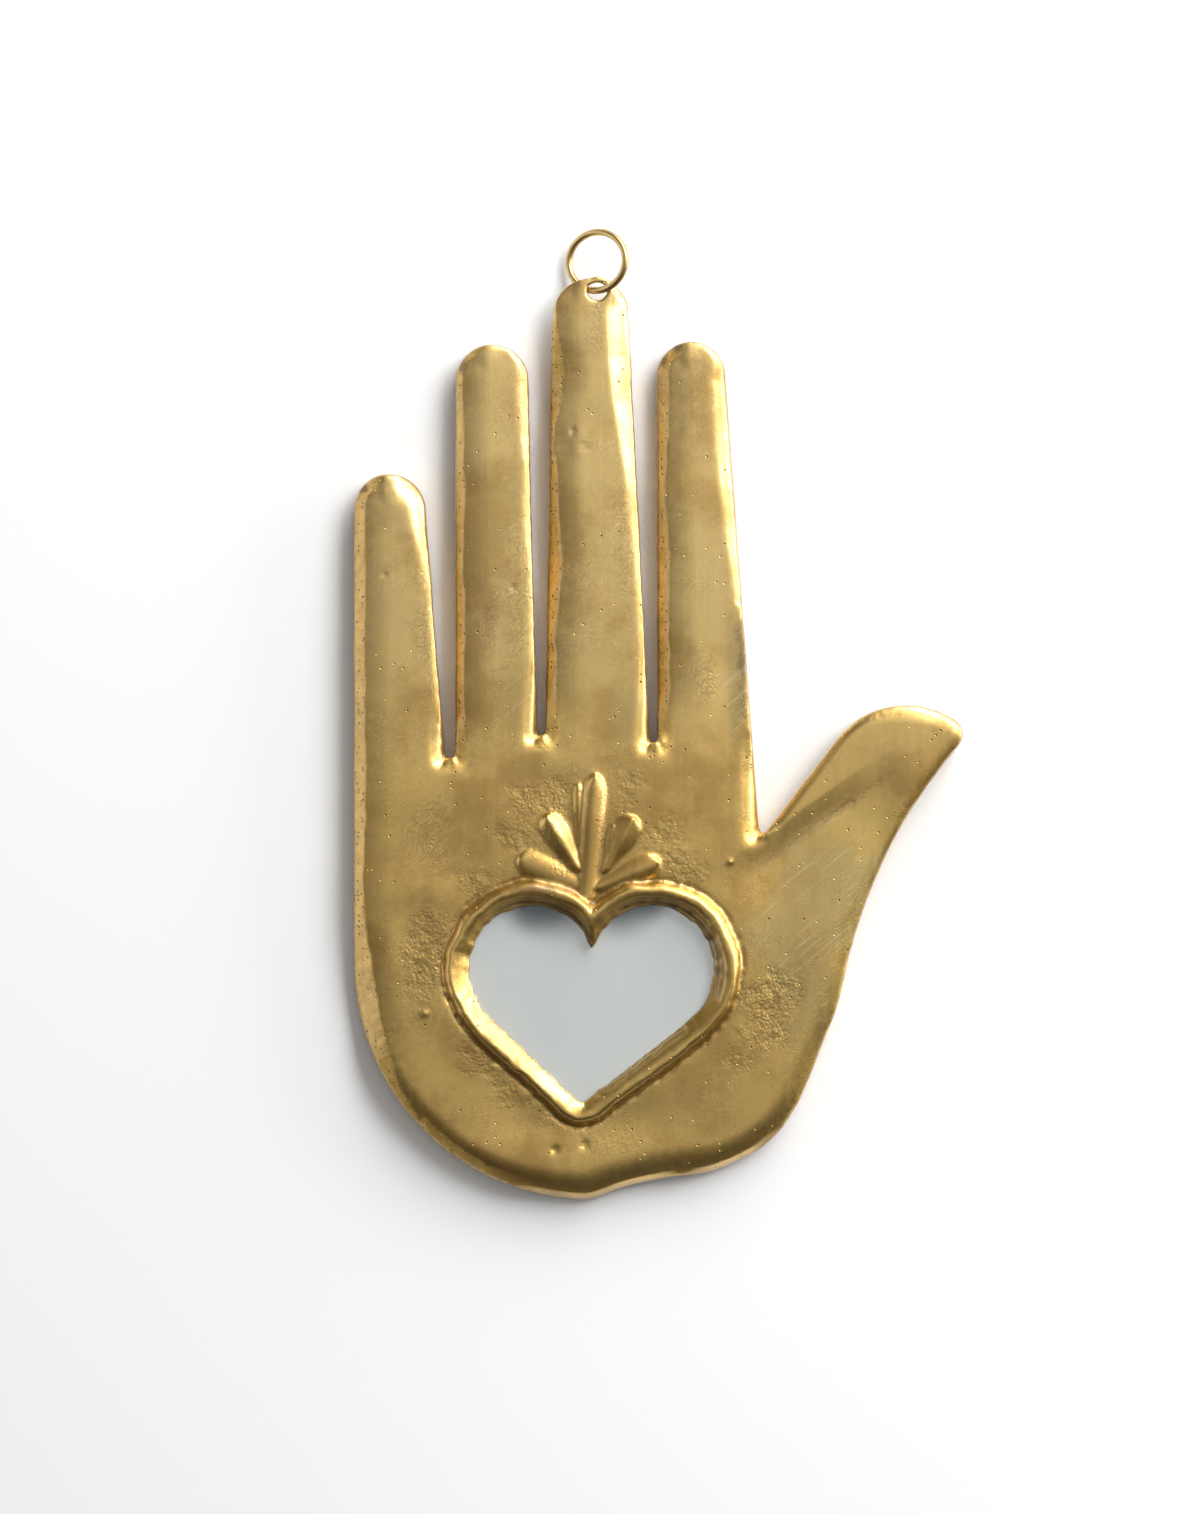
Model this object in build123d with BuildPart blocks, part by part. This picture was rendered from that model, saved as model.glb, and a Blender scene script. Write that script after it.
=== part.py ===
"""Brass hand ornament with a heart mirror in its palm, hung from a wire ring.

The frame: x = 0 on the axis of the hole in the middle fingertip, y = 0 on the wall behind the hand,
z = 0 where a nail carries the ring. The palm faces -Y, the fingers point to +Z. Millimetres.
A "depth" is a distance in front of the wall.
"""

import os
from math import acos, atan2, cos, degrees, hypot, radians, sin, sqrt

from build123d import *

# Hanging ring: round wire bent to an oval that stands upright and is turned to thread the hole
WIRE_D = 1.75
RING_TALL = 14.6
RING_WIDE = 17.2
RING_TURN = 35.0
BUTT_GAP = 0.25
BUTT_ANGLE = 230.0

# Hole in the middle fingertip, in a thin web that leaves the ring room to swing
HOLE_D = 4.7
HOLE_BELOW_TIP = 3.9
HOLE_ASIDE = 1.75
HOLE_EDGE = 1.15
TIP_WEB = 1.2
TIP_RELIEF = 11.0

# Fingers: lengths from the knuckle line to the tips, widths there and at the tips, lean of the tips
MIDDLE_LENGTH = 118.2
MIDDLE_TIP_WIDTH = 19.6
MIDDLE_BASE_WIDTH = 26.4
MIDDLE_LEAN = -1.95
INDEX_LENGTH = 101.7
INDEX_TIP_WIDTH = 17.4
INDEX_BASE_WIDTH = 24.0
INDEX_LEAN = -3.5
FOURTH_LENGTH = 101.0
FOURTH_TIP_WIDTH = 18.6
FOURTH_BASE_WIDTH = 20.8
FOURTH_LEAN = -1.1
LITTLE_LENGTH = 68.6
LITTLE_TIP_WIDTH = 18.2
LITTLE_BASE_WIDTH = 23.0

# Gaps between the fingers: widths at the knuckle line, and how far each bottom stands above it
GAP_LITTLE_FOURTH = 2.4
GAP_FOURTH_MIDDLE = 1.8
GAP_MIDDLE_INDEX = 1.7
BOTTOM_LITTLE_FOURTH = -2.4
BOTTOM_FOURTH_MIDDLE = 3.1
BOTTOM_MIDDLE_INDEX = 1.4
GAP_ROUND = 0.75

# Palm: heel circles along the bottom edge, a shallow wave between them, and the thumb
PALM_LENGTH = 113.6
FINGER_ROOT = 36.0
HEEL_R = 60.0
HEEL_RIGHT_R = 33.0
HEEL_RIGHT_ASIDE = 22.1
HEEL_RIGHT_LIFT = 6.4
HEEL_WAVE_R = 80.0
HEEL_WAVE_ASIDE = 17.3
HEEL_WAVE_LIFT = 5.5
HEEL_WAVE_TILT = -79.4
THUMB_ROOT_R = 17.5
THUMB_ROOT_OUT = 14.9
THUMB_ROOT_DOWN = 34.5
THUMB_WEB_RUN = 15.0
THUMB_R = 22.0
THUMB_OUT = 38.1
THUMB_DOWN = 11.3
THUMB_WAIST_R = 127.0
THUMB_WAIST_OUT = 37.4
THUMB_WAIST_DOWN = 19.4
THUMB_WAIST_TILT = -30.0
THUMB_TIP_ROUND = 4.5
THUMB_GAP_ROUND = 1.0
THUMB_BACK_ROUND = 60.0
HEEL_ROUND = 14.0
TOLERANCE = 0.01

# Casting: the front is crowned, an arc from fingertip to heel that stands deepest just below the knuckles
PALM_DEPTH = 9.4
CROWN_R = 2765.0
CROWN_DROP = 5.6
WALL = 1.8
LAND = 2.6
EDGE_ROUND = 3.0

# Heart opening in the palm and the raised rim around it
HEART_LOBE_R = 15.8
HEART_LOBE_OVERLAP = 1.6
HEART_ASIDE = -1.3
HEART_LIFT = 1.4
HEART_TIP_R = 2.2
HEART_TIP_DROP = 30.8
HEART_TIP_ASIDE = -2.5
RIM_WIDTH = 6.2
RIM_PROUD = 2.6
RIM_ROUND = 2.2

# Flame of five petals above the notch of the rim: foot, heading, reach, foot and tip radius of each
PETAL_SINK = 0.8
PETALS = (
    ((-0.3, 3.5), 90.0, 23.4, 2.6, 3.3),
    ((-4.4, 10.0), 124.0, 8.2, 2.2, 3.1),
    ((4.0, 9.2), 52.0, 8.6, 2.2, 3.1),
    ((-5.0, 4.6), 158.0, 10.4, 2.2, 2.9),
    ((4.6, 4.6), 24.0, 10.4, 2.2, 2.9),
)

# Mirror stack on the hollow back: pane, card and plate against a flat seat, held by four screws
SEAT_STEP = 0.1
PANE_OVERLAP = 3.5
PANE_THICK = 2.0
PANE_CLEAR = 0.3
CARD_THICK = 0.8
PLATE_THICK = 0.8
BOSS_R = 3.0
BOSS_ANGLE = 55.0
BOSS_DOWN = 0.5
LUG_R = 4.2
SCREW_D = 2.4
TAP_CLEAR = 0.05
PLATE_HOLE_CLEAR = 0.2
SCREW_LENGTH = 3.8
TAP_RUN_OUT = 0.6
HEAD_D = 5.0
HEAD_THICK = 1.0
HEAD_ROUND = 0.5
DRIVE_LONG = 2.6
DRIVE_WIDE = 0.6
DRIVE_DEEP = 0.5


def facing(first, second):
    """The angle that the straight side from one circle to the next faces, going anticlockwise round both."""
    (x1, z1), r1 = first
    (x2, z2), r2 = second
    return degrees(atan2(z2 - z1, x2 - x1) - acos((r1 - r2) / hypot(x2 - x1, z2 - z1)))


def wrap(*circles):
    """The face inside a band pulled tight round circles, each (centre, radius), named anticlockwise."""
    joined = list(zip(circles, circles[1:] + circles[:1]))
    normals = [facing(first, second) for first, second in joined]
    with BuildSketch() as band:
        with BuildLine():
            for (first, second), before, after in zip(joined, normals[-1:] + normals[:-1], normals):
                arc = CenterArc(first[0], first[1], before, (after - before) % 360)
                Line(arc @ 1, step(second[0], after, second[1]))
        make_face()
    return band.sketch


def step(start, angle, reach):
    """The point at some reach from start, at an angle from +x in the plane of the outline."""
    return start[0] + reach * cos(radians(angle)), start[1] + reach * sin(radians(angle))


def finger_circles(base_x, length, tip_width, base_width, lean):
    """A finger's fingertip and root circles. Its straight sides run on from the knuckle line to the root."""
    tip_r = tip_width / 2
    run_on = FINGER_ROOT / (length - tip_r)
    fingertip = ((base_x + lean, knuckle_z + length - tip_r), tip_r)
    root_r = base_width / 2 + (base_width / 2 - tip_r) * run_on
    root = ((base_x - lean * run_on, knuckle_z - FINGER_ROOT), root_r)
    return fingertip, root


def crown_depth(z):
    """The depth of the crowned front at some height."""
    return PALM_DEPTH - CROWN_R + sqrt(CROWN_R**2 - (z - crown_z) ** 2)


def behind_crown(set_back):
    """The space behind the crowned front, or behind a surface set back from that front."""
    with BuildPart() as space:
        with BuildSketch(Plane.YZ):
            with Locations((CROWN_R - PALM_DEPTH + set_back, crown_z)):
                Circle(CROWN_R)
        extrude(amount=side_reach, both=True)
    return space.part


def heart(grow):
    """The heart opening, grown outwards all round."""
    left, right, point = heart_circles(grow)
    with BuildSketch() as shape:
        add(wrap(left, point))
        add(wrap(right, point))
    return shape.sketch


def heart_circles(grow):
    """The two lobes and the rounded point of the heart, grown outwards."""
    aside = HEART_LOBE_R - HEART_LOBE_OVERLAP / 2
    lobes = [((heart_x + side * aside, heart_z), HEART_LOBE_R + grow) for side in (-1, 1)]
    point = ((heart_x + HEART_TIP_ASIDE, heart_z - HEART_TIP_DROP), HEART_TIP_R + grow)
    return (*lobes, point)


def screw_places():
    """The four screws, just clear of the pane: one above each lobe, one beside each flank."""
    left, right, point = heart_circles(PANE_OVERLAP)
    places = []
    for lobe, down, angle in (
        (left, 0, 180 - BOSS_ANGLE),
        (right, 0, BOSS_ANGLE),
        (left, BOSS_DOWN, facing(left, point)),
        (right, BOSS_DOWN, facing(point, right)),
    ):
        (lobe_x, lobe_z), lobe_r = lobe
        (point_x, point_z), point_r = point
        inside = (lobe_x + (point_x - lobe_x) * down, lobe_z + (point_z - lobe_z) * down)
        reach = lobe_r + (point_r - lobe_r) * down + PANE_CLEAR + BOSS_R
        places.append((inside, step(inside, angle, reach)))
    return places


# Places worked out from the sizes above
hole_z = WIRE_D / 2 - RING_TALL
tip_z = hole_z + HOLE_BELOW_TIP
knuckle_z = tip_z - MIDDLE_LENGTH
bottom_z = knuckle_z - PALM_LENGTH

middle_x = -HOLE_ASIDE - MIDDLE_LEAN
fourth_x = middle_x - MIDDLE_BASE_WIDTH / 2 - GAP_FOURTH_MIDDLE - FOURTH_BASE_WIDTH / 2
little_x = fourth_x - FOURTH_BASE_WIDTH / 2 - GAP_LITTLE_FOURTH - LITTLE_BASE_WIDTH / 2
index_x = middle_x + MIDDLE_BASE_WIDTH / 2 + GAP_MIDDLE_INDEX + INDEX_BASE_WIDTH / 2
left_x = little_x - LITTLE_BASE_WIDTH / 2
right_x = index_x + INDEX_BASE_WIDTH / 2
side_reach = right_x + THUMB_OUT + THUMB_R * 2
little_lean = (LITTLE_TIP_WIDTH - LITTLE_BASE_WIDTH) / 2

heel = (left_x + HEEL_R, bottom_z + HEEL_R)
heel_right = (heel[0] + HEEL_RIGHT_ASIDE, bottom_z + HEEL_RIGHT_LIFT + HEEL_RIGHT_R)
heel_wave = (heel[0] + HEEL_WAVE_ASIDE, bottom_z + HEEL_WAVE_LIFT)
thumb_root = (right_x + THUMB_ROOT_OUT, knuckle_z - THUMB_ROOT_DOWN)
thumb = (right_x + THUMB_OUT, knuckle_z - THUMB_DOWN)
thumb_inner_facing = facing((thumb, THUMB_R), (thumb_root, THUMB_ROOT_R))
thumb_web = step(thumb_root, thumb_inner_facing + 90, THUMB_WEB_RUN)
thumb_outer_facing = facing((heel_right, HEEL_RIGHT_R), (thumb_root, THUMB_ROOT_R))
thumb_heel = step(heel_right, thumb_outer_facing, HEEL_RIGHT_R - THUMB_ROOT_R)
thumb_waist = (right_x + THUMB_WAIST_OUT, knuckle_z - THUMB_WAIST_DOWN)

rounded = (
    ((right_x, knuckle_z - THUMB_ROOT_DOWN), THUMB_GAP_ROUND),
    ((right_x + THUMB_OUT + THUMB_R, knuckle_z), THUMB_TIP_ROUND),
    ((right_x + THUMB_R, knuckle_z - PALM_LENGTH / 2), THUMB_BACK_ROUND),
    ((heel[0], bottom_z), HEEL_ROUND),
    ((heel_right[0], bottom_z + HEEL_RIGHT_LIFT), HEEL_ROUND),
)
gaps = (
    (little_x, fourth_x, knuckle_z + BOTTOM_LITTLE_FOURTH),
    (fourth_x, middle_x, knuckle_z + BOTTOM_FOURTH_MIDDLE),
    (middle_x, index_x, knuckle_z + BOTTOM_MIDDLE_INDEX),
)

heart_x = HEART_ASIDE
heart_z = knuckle_z - PALM_LENGTH / 2 + HEART_LIFT
flame_z = heart_z + HEART_LOBE_R + PANE_OVERLAP
crown_z = knuckle_z - CROWN_DROP
pane_low_z = heart_z - HEART_TIP_DROP - HEART_TIP_R - PANE_OVERLAP
web_depth = crown_depth(hole_z) - TIP_WEB / 2
seat_depth = crown_depth(pane_low_z) - WALL - SEAT_STEP
card_depth = seat_depth - PANE_THICK
plate_depth = card_depth - CARD_THICK
head_depth = plate_depth - PLATE_THICK
screws_at = [place for _, place in screw_places()]

fingers = (
    finger_circles(little_x, LITTLE_LENGTH, LITTLE_TIP_WIDTH, LITTLE_BASE_WIDTH, little_lean),
    finger_circles(fourth_x, FOURTH_LENGTH, FOURTH_TIP_WIDTH, FOURTH_BASE_WIDTH, FOURTH_LEAN),
    finger_circles(middle_x, MIDDLE_LENGTH, MIDDLE_TIP_WIDTH, MIDDLE_BASE_WIDTH, MIDDLE_LEAN),
    finger_circles(index_x, INDEX_LENGTH, INDEX_TIP_WIDTH, INDEX_BASE_WIDTH, INDEX_LEAN),
)

# Outline of the hand, seen from the palm
with BuildSketch(Plane.XZ) as hand_outline:
    add(wrap((heel, HEEL_R), (heel_right, HEEL_RIGHT_R), fingers[-1][1], fingers[0][1]))
    add(wrap((thumb_heel, THUMB_ROOT_R), (thumb_root, THUMB_ROOT_R)))
    add(wrap((thumb_root, THUMB_ROOT_R), (thumb, THUMB_R)))
    add(wrap((thumb_web, THUMB_ROOT_R), (thumb, THUMB_R)))
    for fingertip, root in fingers:
        add(wrap(fingertip, root))
    for left, right, gap_bottom in gaps:
        with Locations(((left + right) / 2, gap_bottom)):
            Rectangle(right - left, FINGER_ROOT, align=(Align.CENTER, Align.MAX))
    with Locations(step(thumb_waist, THUMB_WAIST_TILT, THUMB_WAIST_R)):
        Circle(THUMB_WAIST_R, mode=Mode.SUBTRACT)
    with Locations(step(heel_wave, HEEL_WAVE_TILT, HEEL_WAVE_R)):
        Circle(HEEL_WAVE_R, mode=Mode.SUBTRACT)
    for left, right, gap_bottom in gaps:
        between = hand_outline.vertices().filter_by_position(Axis.X, left, right)
        ends = between.filter_by_position(Axis.Y, gap_bottom - TOLERANCE, gap_bottom + TOLERANCE)
        fillet(ends, GAP_ROUND)
    for near, radius in rounded:
        fillet(hand_outline.vertices().sort_by_distance(Vector(*near))[0], radius)

# Outline of the mirror pane, which laps behind the rim
with BuildSketch(Plane.XZ) as pane_outline:
    left_lobe, right_lobe, heart_point = heart_circles(PANE_OVERLAP)
    add(wrap(heart_point, right_lobe, left_lobe))

# Hollow back of the casting, which follows the outline and the crowned front
with BuildPart() as hollow:
    with BuildSketch(Plane.XZ):
        offset(hand_outline.sketch_local, amount=-LAND)
    extrude(amount=PALM_DEPTH)
    add(behind_crown(WALL), mode=Mode.INTERSECT)

# Space behind the fingertip, where the ring swings, with a sloped floor
with BuildPart() as tip_relief:
    relief_z = hole_z - TIP_RELIEF
    relief_top = tip_z + TIP_RELIEF
    with BuildSketch(Plane.YZ):
        with BuildLine():
            Polyline(
                (0, relief_z - PALM_DEPTH),
                (-PALM_DEPTH, relief_z),
                (-PALM_DEPTH, relief_top),
                (0, relief_top),
                close=True,
            )
        make_face()
    extrude(amount=MIDDLE_BASE_WIDTH / 2, both=True)
    add(behind_crown(TIP_WEB), mode=Mode.INTERSECT)

# The casting: hand, rim and petals in one, hollow behind, with a seat and bosses for the mirror
with BuildPart() as hand_casting:
    with BuildSketch(Plane.XZ):
        add(hand_outline.sketch_local)
    extrude(amount=PALM_DEPTH)
    add(behind_crown(0), mode=Mode.INTERSECT)
    front = hand_casting.faces().sort_by(Axis.Y)[0]
    fillet(front.edges(), EDGE_ROUND)
    with BuildSketch(Plane.XZ):
        with Locations((0, hole_z)):
            Circle(HOLE_D / 2 + HOLE_EDGE)
    extrude(amount=PALM_DEPTH)
    add(behind_crown(0), mode=Mode.INTERSECT)
    with BuildSketch(Plane.XZ.offset(seat_depth)):
        add(heart(RIM_WIDTH))
        add(heart(0), mode=Mode.SUBTRACT)
    extrude(amount=PALM_DEPTH + RIM_PROUD - seat_depth)
    crest = hand_casting.faces().sort_by(Axis.Y)[0]
    fillet(crest.edges(), RIM_ROUND)
    for (foot_x, foot_z), heading, reach, foot_r, tip_r in PETALS:
        foot = Vector(heart_x + foot_x, PETAL_SINK - PALM_DEPTH, flame_z + foot_z)
        along = Vector(1, 0, 0).rotate(Axis.Y, -heading)
        with BuildSketch(Plane(foot, x_dir=along, z_dir=(0, -1, 0))):
            add(wrap(((0, 0), foot_r), ((reach, 0), tip_r)))
            Rectangle((reach + tip_r) * 2, tip_r * 2, align=(Align.CENTER, Align.MAX), mode=Mode.SUBTRACT)
        revolve(axis=Axis(foot, along))
    add(hollow.part, mode=Mode.SUBTRACT)
    with BuildSketch(Plane.XZ.offset(seat_depth)):
        add(pane_outline.sketch_local)
    extrude(amount=PALM_DEPTH - WALL - seat_depth)
    with BuildSketch(Plane.XZ.offset(plate_depth)):
        with Locations(*screws_at):
            Circle(BOSS_R)
    extrude(amount=PALM_DEPTH - WALL - plate_depth)
    with BuildSketch(Plane.XZ):
        add(heart(0))
    extrude(amount=PALM_DEPTH + RIM_PROUD, mode=Mode.SUBTRACT)
    with BuildSketch(Plane.XZ.offset(plate_depth)):
        with Locations(*screws_at):
            Circle(SCREW_D / 2 + TAP_CLEAR)
    extrude(amount=SCREW_LENGTH - PLATE_THICK + TAP_RUN_OUT, mode=Mode.SUBTRACT)
    add(tip_relief.part, mode=Mode.SUBTRACT)
    with BuildSketch(Plane((0, -web_depth, hole_z))):
        Rectangle((HOLE_D + TIP_WEB) / 2, TIP_WEB * 2, align=(Align.MIN, Align.CENTER))
        with Locations(((HOLE_D + TIP_WEB) / 2, 0)):
            Circle(TIP_WEB / 2, mode=Mode.SUBTRACT)
    revolve(axis=Axis((0, -web_depth, hole_z), (0, 1, 0)), mode=Mode.SUBTRACT)
hand_casting.part.label = "hand_casting"

# Hanging ring, butted behind the fingertip
with BuildPart() as hanging_ring:
    out = Vector(1, 0, 0).rotate(Axis.Z, -RING_TURN)
    ring_plane = Plane((0, -web_depth, hole_z + RING_TALL / 2), x_dir=out, z_dir=out.cross(Vector(0, 0, 1)))
    half_gap = degrees(BUTT_GAP / RING_WIDE)
    with BuildLine(ring_plane):
        wire = EllipticalCenterArc(
            (0, 0),
            RING_WIDE / 2,
            RING_TALL / 2,
            start_angle=BUTT_ANGLE + half_gap,
            arc_size=360 - 2 * half_gap,
        )
    with BuildSketch(wire ^ 0):
        Circle(WIRE_D / 2)
    sweep()
hanging_ring.part.label = "hanging_ring"

# Mirror pane behind the heart
with BuildPart() as mirror_glass:
    with BuildSketch(Plane.XZ.offset(card_depth)):
        add(pane_outline.sketch_local)
    extrude(amount=PANE_THICK)
mirror_glass.part.label = "mirror_glass"

# Card that keeps the plate off the silvering
with BuildPart() as backing_card:
    with BuildSketch(Plane.XZ.offset(plate_depth)):
        add(pane_outline.sketch_local)
    extrude(amount=CARD_THICK)
backing_card.part.label = "backing_card"

# Steel plate with an ear at each screw
with BuildPart() as back_plate:
    with BuildSketch(Plane.XZ.offset(head_depth)):
        add(pane_outline.sketch_local)
        for inside, place in screw_places():
            add(wrap((inside, LUG_R), (place, LUG_R)))
        with Locations(*screws_at):
            Circle(SCREW_D / 2 + PLATE_HOLE_CLEAR, mode=Mode.SUBTRACT)
    extrude(amount=PLATE_THICK)
back_plate.part.label = "back_plate"

# Four pan-head screws with cross recesses
with BuildPart() as back_plate_screws:
    with BuildSketch(Plane.XZ.offset(head_depth - HEAD_THICK)):
        with Locations(*screws_at):
            Circle(HEAD_D / 2)
    extrude(amount=HEAD_THICK)
    fillet(back_plate_screws.edges().group_by(Axis.Y)[-1], HEAD_ROUND)
    with BuildSketch(Plane.XZ.offset(head_depth - HEAD_THICK)):
        with Locations(*screws_at):
            Rectangle(DRIVE_LONG, DRIVE_WIDE)
            Rectangle(DRIVE_WIDE, DRIVE_LONG)
    extrude(amount=DRIVE_DEEP, mode=Mode.SUBTRACT)
    with BuildSketch(Plane.XZ.offset(head_depth)):
        with Locations(*screws_at):
            Circle(SCREW_D / 2)
    extrude(amount=SCREW_LENGTH)
back_plate_screws.part.label = "back_plate_screws"

os.makedirs("parts", exist_ok=True)
export_step(hand_casting.part, "parts/hand_casting.step")
export_step(hanging_ring.part, "parts/hanging_ring.step")
export_step(mirror_glass.part, "parts/mirror_glass.step")
export_step(backing_card.part, "parts/backing_card.step")
export_step(back_plate.part, "parts/back_plate.step")
export_step(back_plate_screws.part, "parts/back_plate_screws.step")
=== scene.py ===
from math import radians

import bmesh
import bpy
import numpy as np
from mathutils import Matrix, Vector
from mathutils.kdtree import KDTree


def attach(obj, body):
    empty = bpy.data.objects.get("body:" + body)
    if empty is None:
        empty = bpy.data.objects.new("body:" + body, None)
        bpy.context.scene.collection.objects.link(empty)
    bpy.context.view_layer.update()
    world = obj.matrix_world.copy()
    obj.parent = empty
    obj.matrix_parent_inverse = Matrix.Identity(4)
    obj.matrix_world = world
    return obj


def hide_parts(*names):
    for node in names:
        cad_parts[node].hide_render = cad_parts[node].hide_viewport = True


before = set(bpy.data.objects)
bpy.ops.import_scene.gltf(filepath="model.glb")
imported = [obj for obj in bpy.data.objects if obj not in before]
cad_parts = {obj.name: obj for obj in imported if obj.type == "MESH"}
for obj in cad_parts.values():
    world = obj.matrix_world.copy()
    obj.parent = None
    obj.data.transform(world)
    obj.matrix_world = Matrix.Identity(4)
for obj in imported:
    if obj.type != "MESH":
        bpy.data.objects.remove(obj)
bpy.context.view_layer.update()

# The hand: one hollow brass casting, poured in sand, with the heart rim and the five petals cast on.
# Its faces are linished and buffed by hand. The left flanks and the ground round the heart keep the
# cast skin, because the buffing wheel never reached them. All its sizes are in millimetres.
MM = 0.001
SAME_POINT = 0.02
bm = bmesh.new()
bm.from_mesh(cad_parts["hand_casting"].data)
bmesh.ops.remove_doubles(bm, verts=bm.verts, dist=SAME_POINT * MM)

# Where the front turns over into a side wall, every half millimetre, and the way that wall faces. The
# fingertip web has no side wall, only a front and a back, and its outline lies just outside its front.
OUTLINE_STEP = 0.5
HEART_MIDDLE = (-1.3, -190.0)
HEART_REACH = 44.0
HOLE_X = 0.0
HOLE_Z = -13.725
HOLE_EDGE = 3.6
WEB_EDGE = 0.6
FRONT_LEANS = -0.05
BACK_LEANS = 0.5
LEAST_LEAN = 0.2
flank_points = []
flank_ways = []
heart_points = []
heart_ways = []
for edge in bm.edges:
    front, side = sorted(edge.link_faces, key=lambda face: face.normal.y)
    if not (edge.is_convex and front.normal.y < FRONT_LEANS <= side.normal.y):
        continue
    thin = side.normal.y >= BACK_LEANS
    facing = front.normal if thin else side.normal
    out = WEB_EDGE / max(np.hypot(facing.x, facing.z), LEAST_LEAN) if thin else 0.0
    start, end = (vert.co / MM for vert in edge.verts)
    for step in np.arange(0.0, 1.0, OUTLINE_STEP / max(edge.calc_length() / MM, OUTLINE_STEP)):
        at = start.lerp(end, step)
        to_heart = HEART_MIDDLE[0] - at.x, HEART_MIDDLE[1] - at.z
        if np.hypot(*to_heart) < HEART_REACH:
            if facing.x * to_heart[0] + facing.z * to_heart[1] > 0.0:
                heart_points.append((at.x, at.z, 0.0))
                heart_ways.append((facing.x, facing.z))
        elif np.hypot(at.x - HOLE_X, at.z - HOLE_Z) > HOLE_EDGE:
            flank_points.append((at.x + out * facing.x, at.z + out * facing.z, 0.0))
            flank_ways.append((facing.x, facing.z))
flank_points, flank_ways = np.array(flank_points), np.array(flank_ways)
heart_points, heart_ways = np.array(heart_points), np.array(heart_ways)
flank_tree = KDTree(len(flank_points))
heart_tree = KDTree(len(heart_points))
for tree, points, ways in ((flank_tree, flank_points, flank_ways), (heart_tree, heart_points, heart_ways)):
    ways /= np.hypot(ways[:, 0], ways[:, 1])[:, None]
    for place, point in enumerate(points):
        tree.insert(point, place)
    tree.balance()

cast_hand = bpy.data.objects.new("cast_hand", bpy.data.meshes.new("cast_hand"))
bpy.context.scene.collection.objects.link(cast_hand)
bm.to_mesh(cast_hand.data)
bm.free()


def settle(piece, kind, **settings):
    """Puts one modifier on a piece and makes its result the piece's mesh."""
    modifier = piece.modifiers.new(kind.lower(), kind)
    for name, value in settings.items():
        setattr(modifier, name, value)
    settled = piece.evaluated_get(bpy.context.evaluated_depsgraph_get())
    piece.data = bpy.data.meshes.new_from_object(settled)
    piece.modifiers.clear()


def of_vertices(mesh, what):
    """Every vertex's place ("co") or the way it faces ("normal"), one row each."""
    found = np.empty(len(mesh.vertices) * 3)
    mesh.vertices.foreach_get(what, found)
    return found.reshape(-1, 3)


def lay_of_the_hand(mesh):
    """Every vertex's x, depth and z in mm, and where it lies against the hand's outline and the heart."""
    place = of_vertices(mesh, "co") / MM
    x, depth, z = place[:, 0].copy(), -place[:, 1], place[:, 2].copy()
    flank = [flank_tree.find((a, b, 0.0))[1:] for a, b in zip(x, z)]
    heart = [heart_tree.find((a, b, 0.0))[1:] for a, b in zip(x, z)]
    near_flank, inset = (np.array(column) for column in zip(*flank))
    near_heart, off_heart = (np.array(column) for column in zip(*heart))
    return (x, depth, z, inset, flank_points[near_flank], flank_ways[near_flank], off_heart,
            heart_points[near_heart], heart_ways[near_heart])


# The casting gets an even skin, fine enough for its relief, and every point of it is placed against
# the outline and the heart. The palm side is crowned along its length, with a rounded edge.
SKIN_VOXEL = 0.45
PALM_DEPTH = 9.4
CROWN_Z = -133.6
CROWN_R = 2765.0
EDGE_ROUND = 3.0
settle(cast_hand, "REMESH", mode="VOXEL", voxel_size=SKIN_VOXEL * MM)
x, depth, z, inset, at, way, off_heart, heart_at, heart_way = lay_of_the_hand(cast_hand.data)
normals = of_vertices(cast_hand.data, "normal")
off_hole = np.hypot(x - HOLE_X, z - HOLE_Z)
crown = PALM_DEPTH - (z - CROWN_Z) ** 2 / (2.0 * CROWN_R)
into_round = np.clip(EDGE_ROUND - inset, 0, None)
cad_round = EDGE_ROUND - np.sqrt(np.clip(EDGE_ROUND ** 2 - into_round ** 2, 0, None))
cad_front = crown - cad_round

# How far the edge of the fingertip web stands out to run on from the finger, as (height, width). On the
# left it stays low near the hole, so that the ring clears it at full swing.
WEB_RIGHT = (
    (-29.7, 0.0), (-28.4, 0.7), (-25.6, 0.8), (-24.6, 1.1), (-22.0, 1.15), (-20.8, 1.35),
    (-19.9, 0.85), (-18.6, 0.65), (-17.5, 0.85),
)
WEB_LEFT = (
    (-29.7, 0.0), (-28.4, 0.7), (-25.6, 0.8), (-24.6, 1.1), (-22.5, 1.0), (-20.5, 0.65),
    (-19.0, 0.3), (-17.5, 0.2), (-13.0, 0.3),
)


def fade(distance, reach, power=2):
    """1 at an edge, curving down to 0 at `reach` mm from it."""
    return (1.0 - np.clip(distance / reach, 0.0, 1.0)) ** power


# The web's edge is drawn out to the width of the finger, the outermost 0.9 mm of it in full
MIDDLE_HALF = 14.0
WEB_MOVED = 0.9
WEB_EASED = 3.0
on_web = np.where(x > 0.0, np.interp(z, *zip(*WEB_RIGHT)), np.interp(z, *zip(*WEB_LEFT)))
on_web = on_web * (np.abs(x) < MIDDLE_HALF)
widened = on_web * fade(inset - WEB_MOVED, WEB_EASED)
in_from_edge = np.maximum(inset - widened, 0.0)


def smooth(low, high, value):
    """0 below low, 1 above high, with a soft step between."""
    t = np.clip((value - low) / (high - low), 0.0, 1.0)
    return t * t * (3.0 - 2.0 * t)


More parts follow.
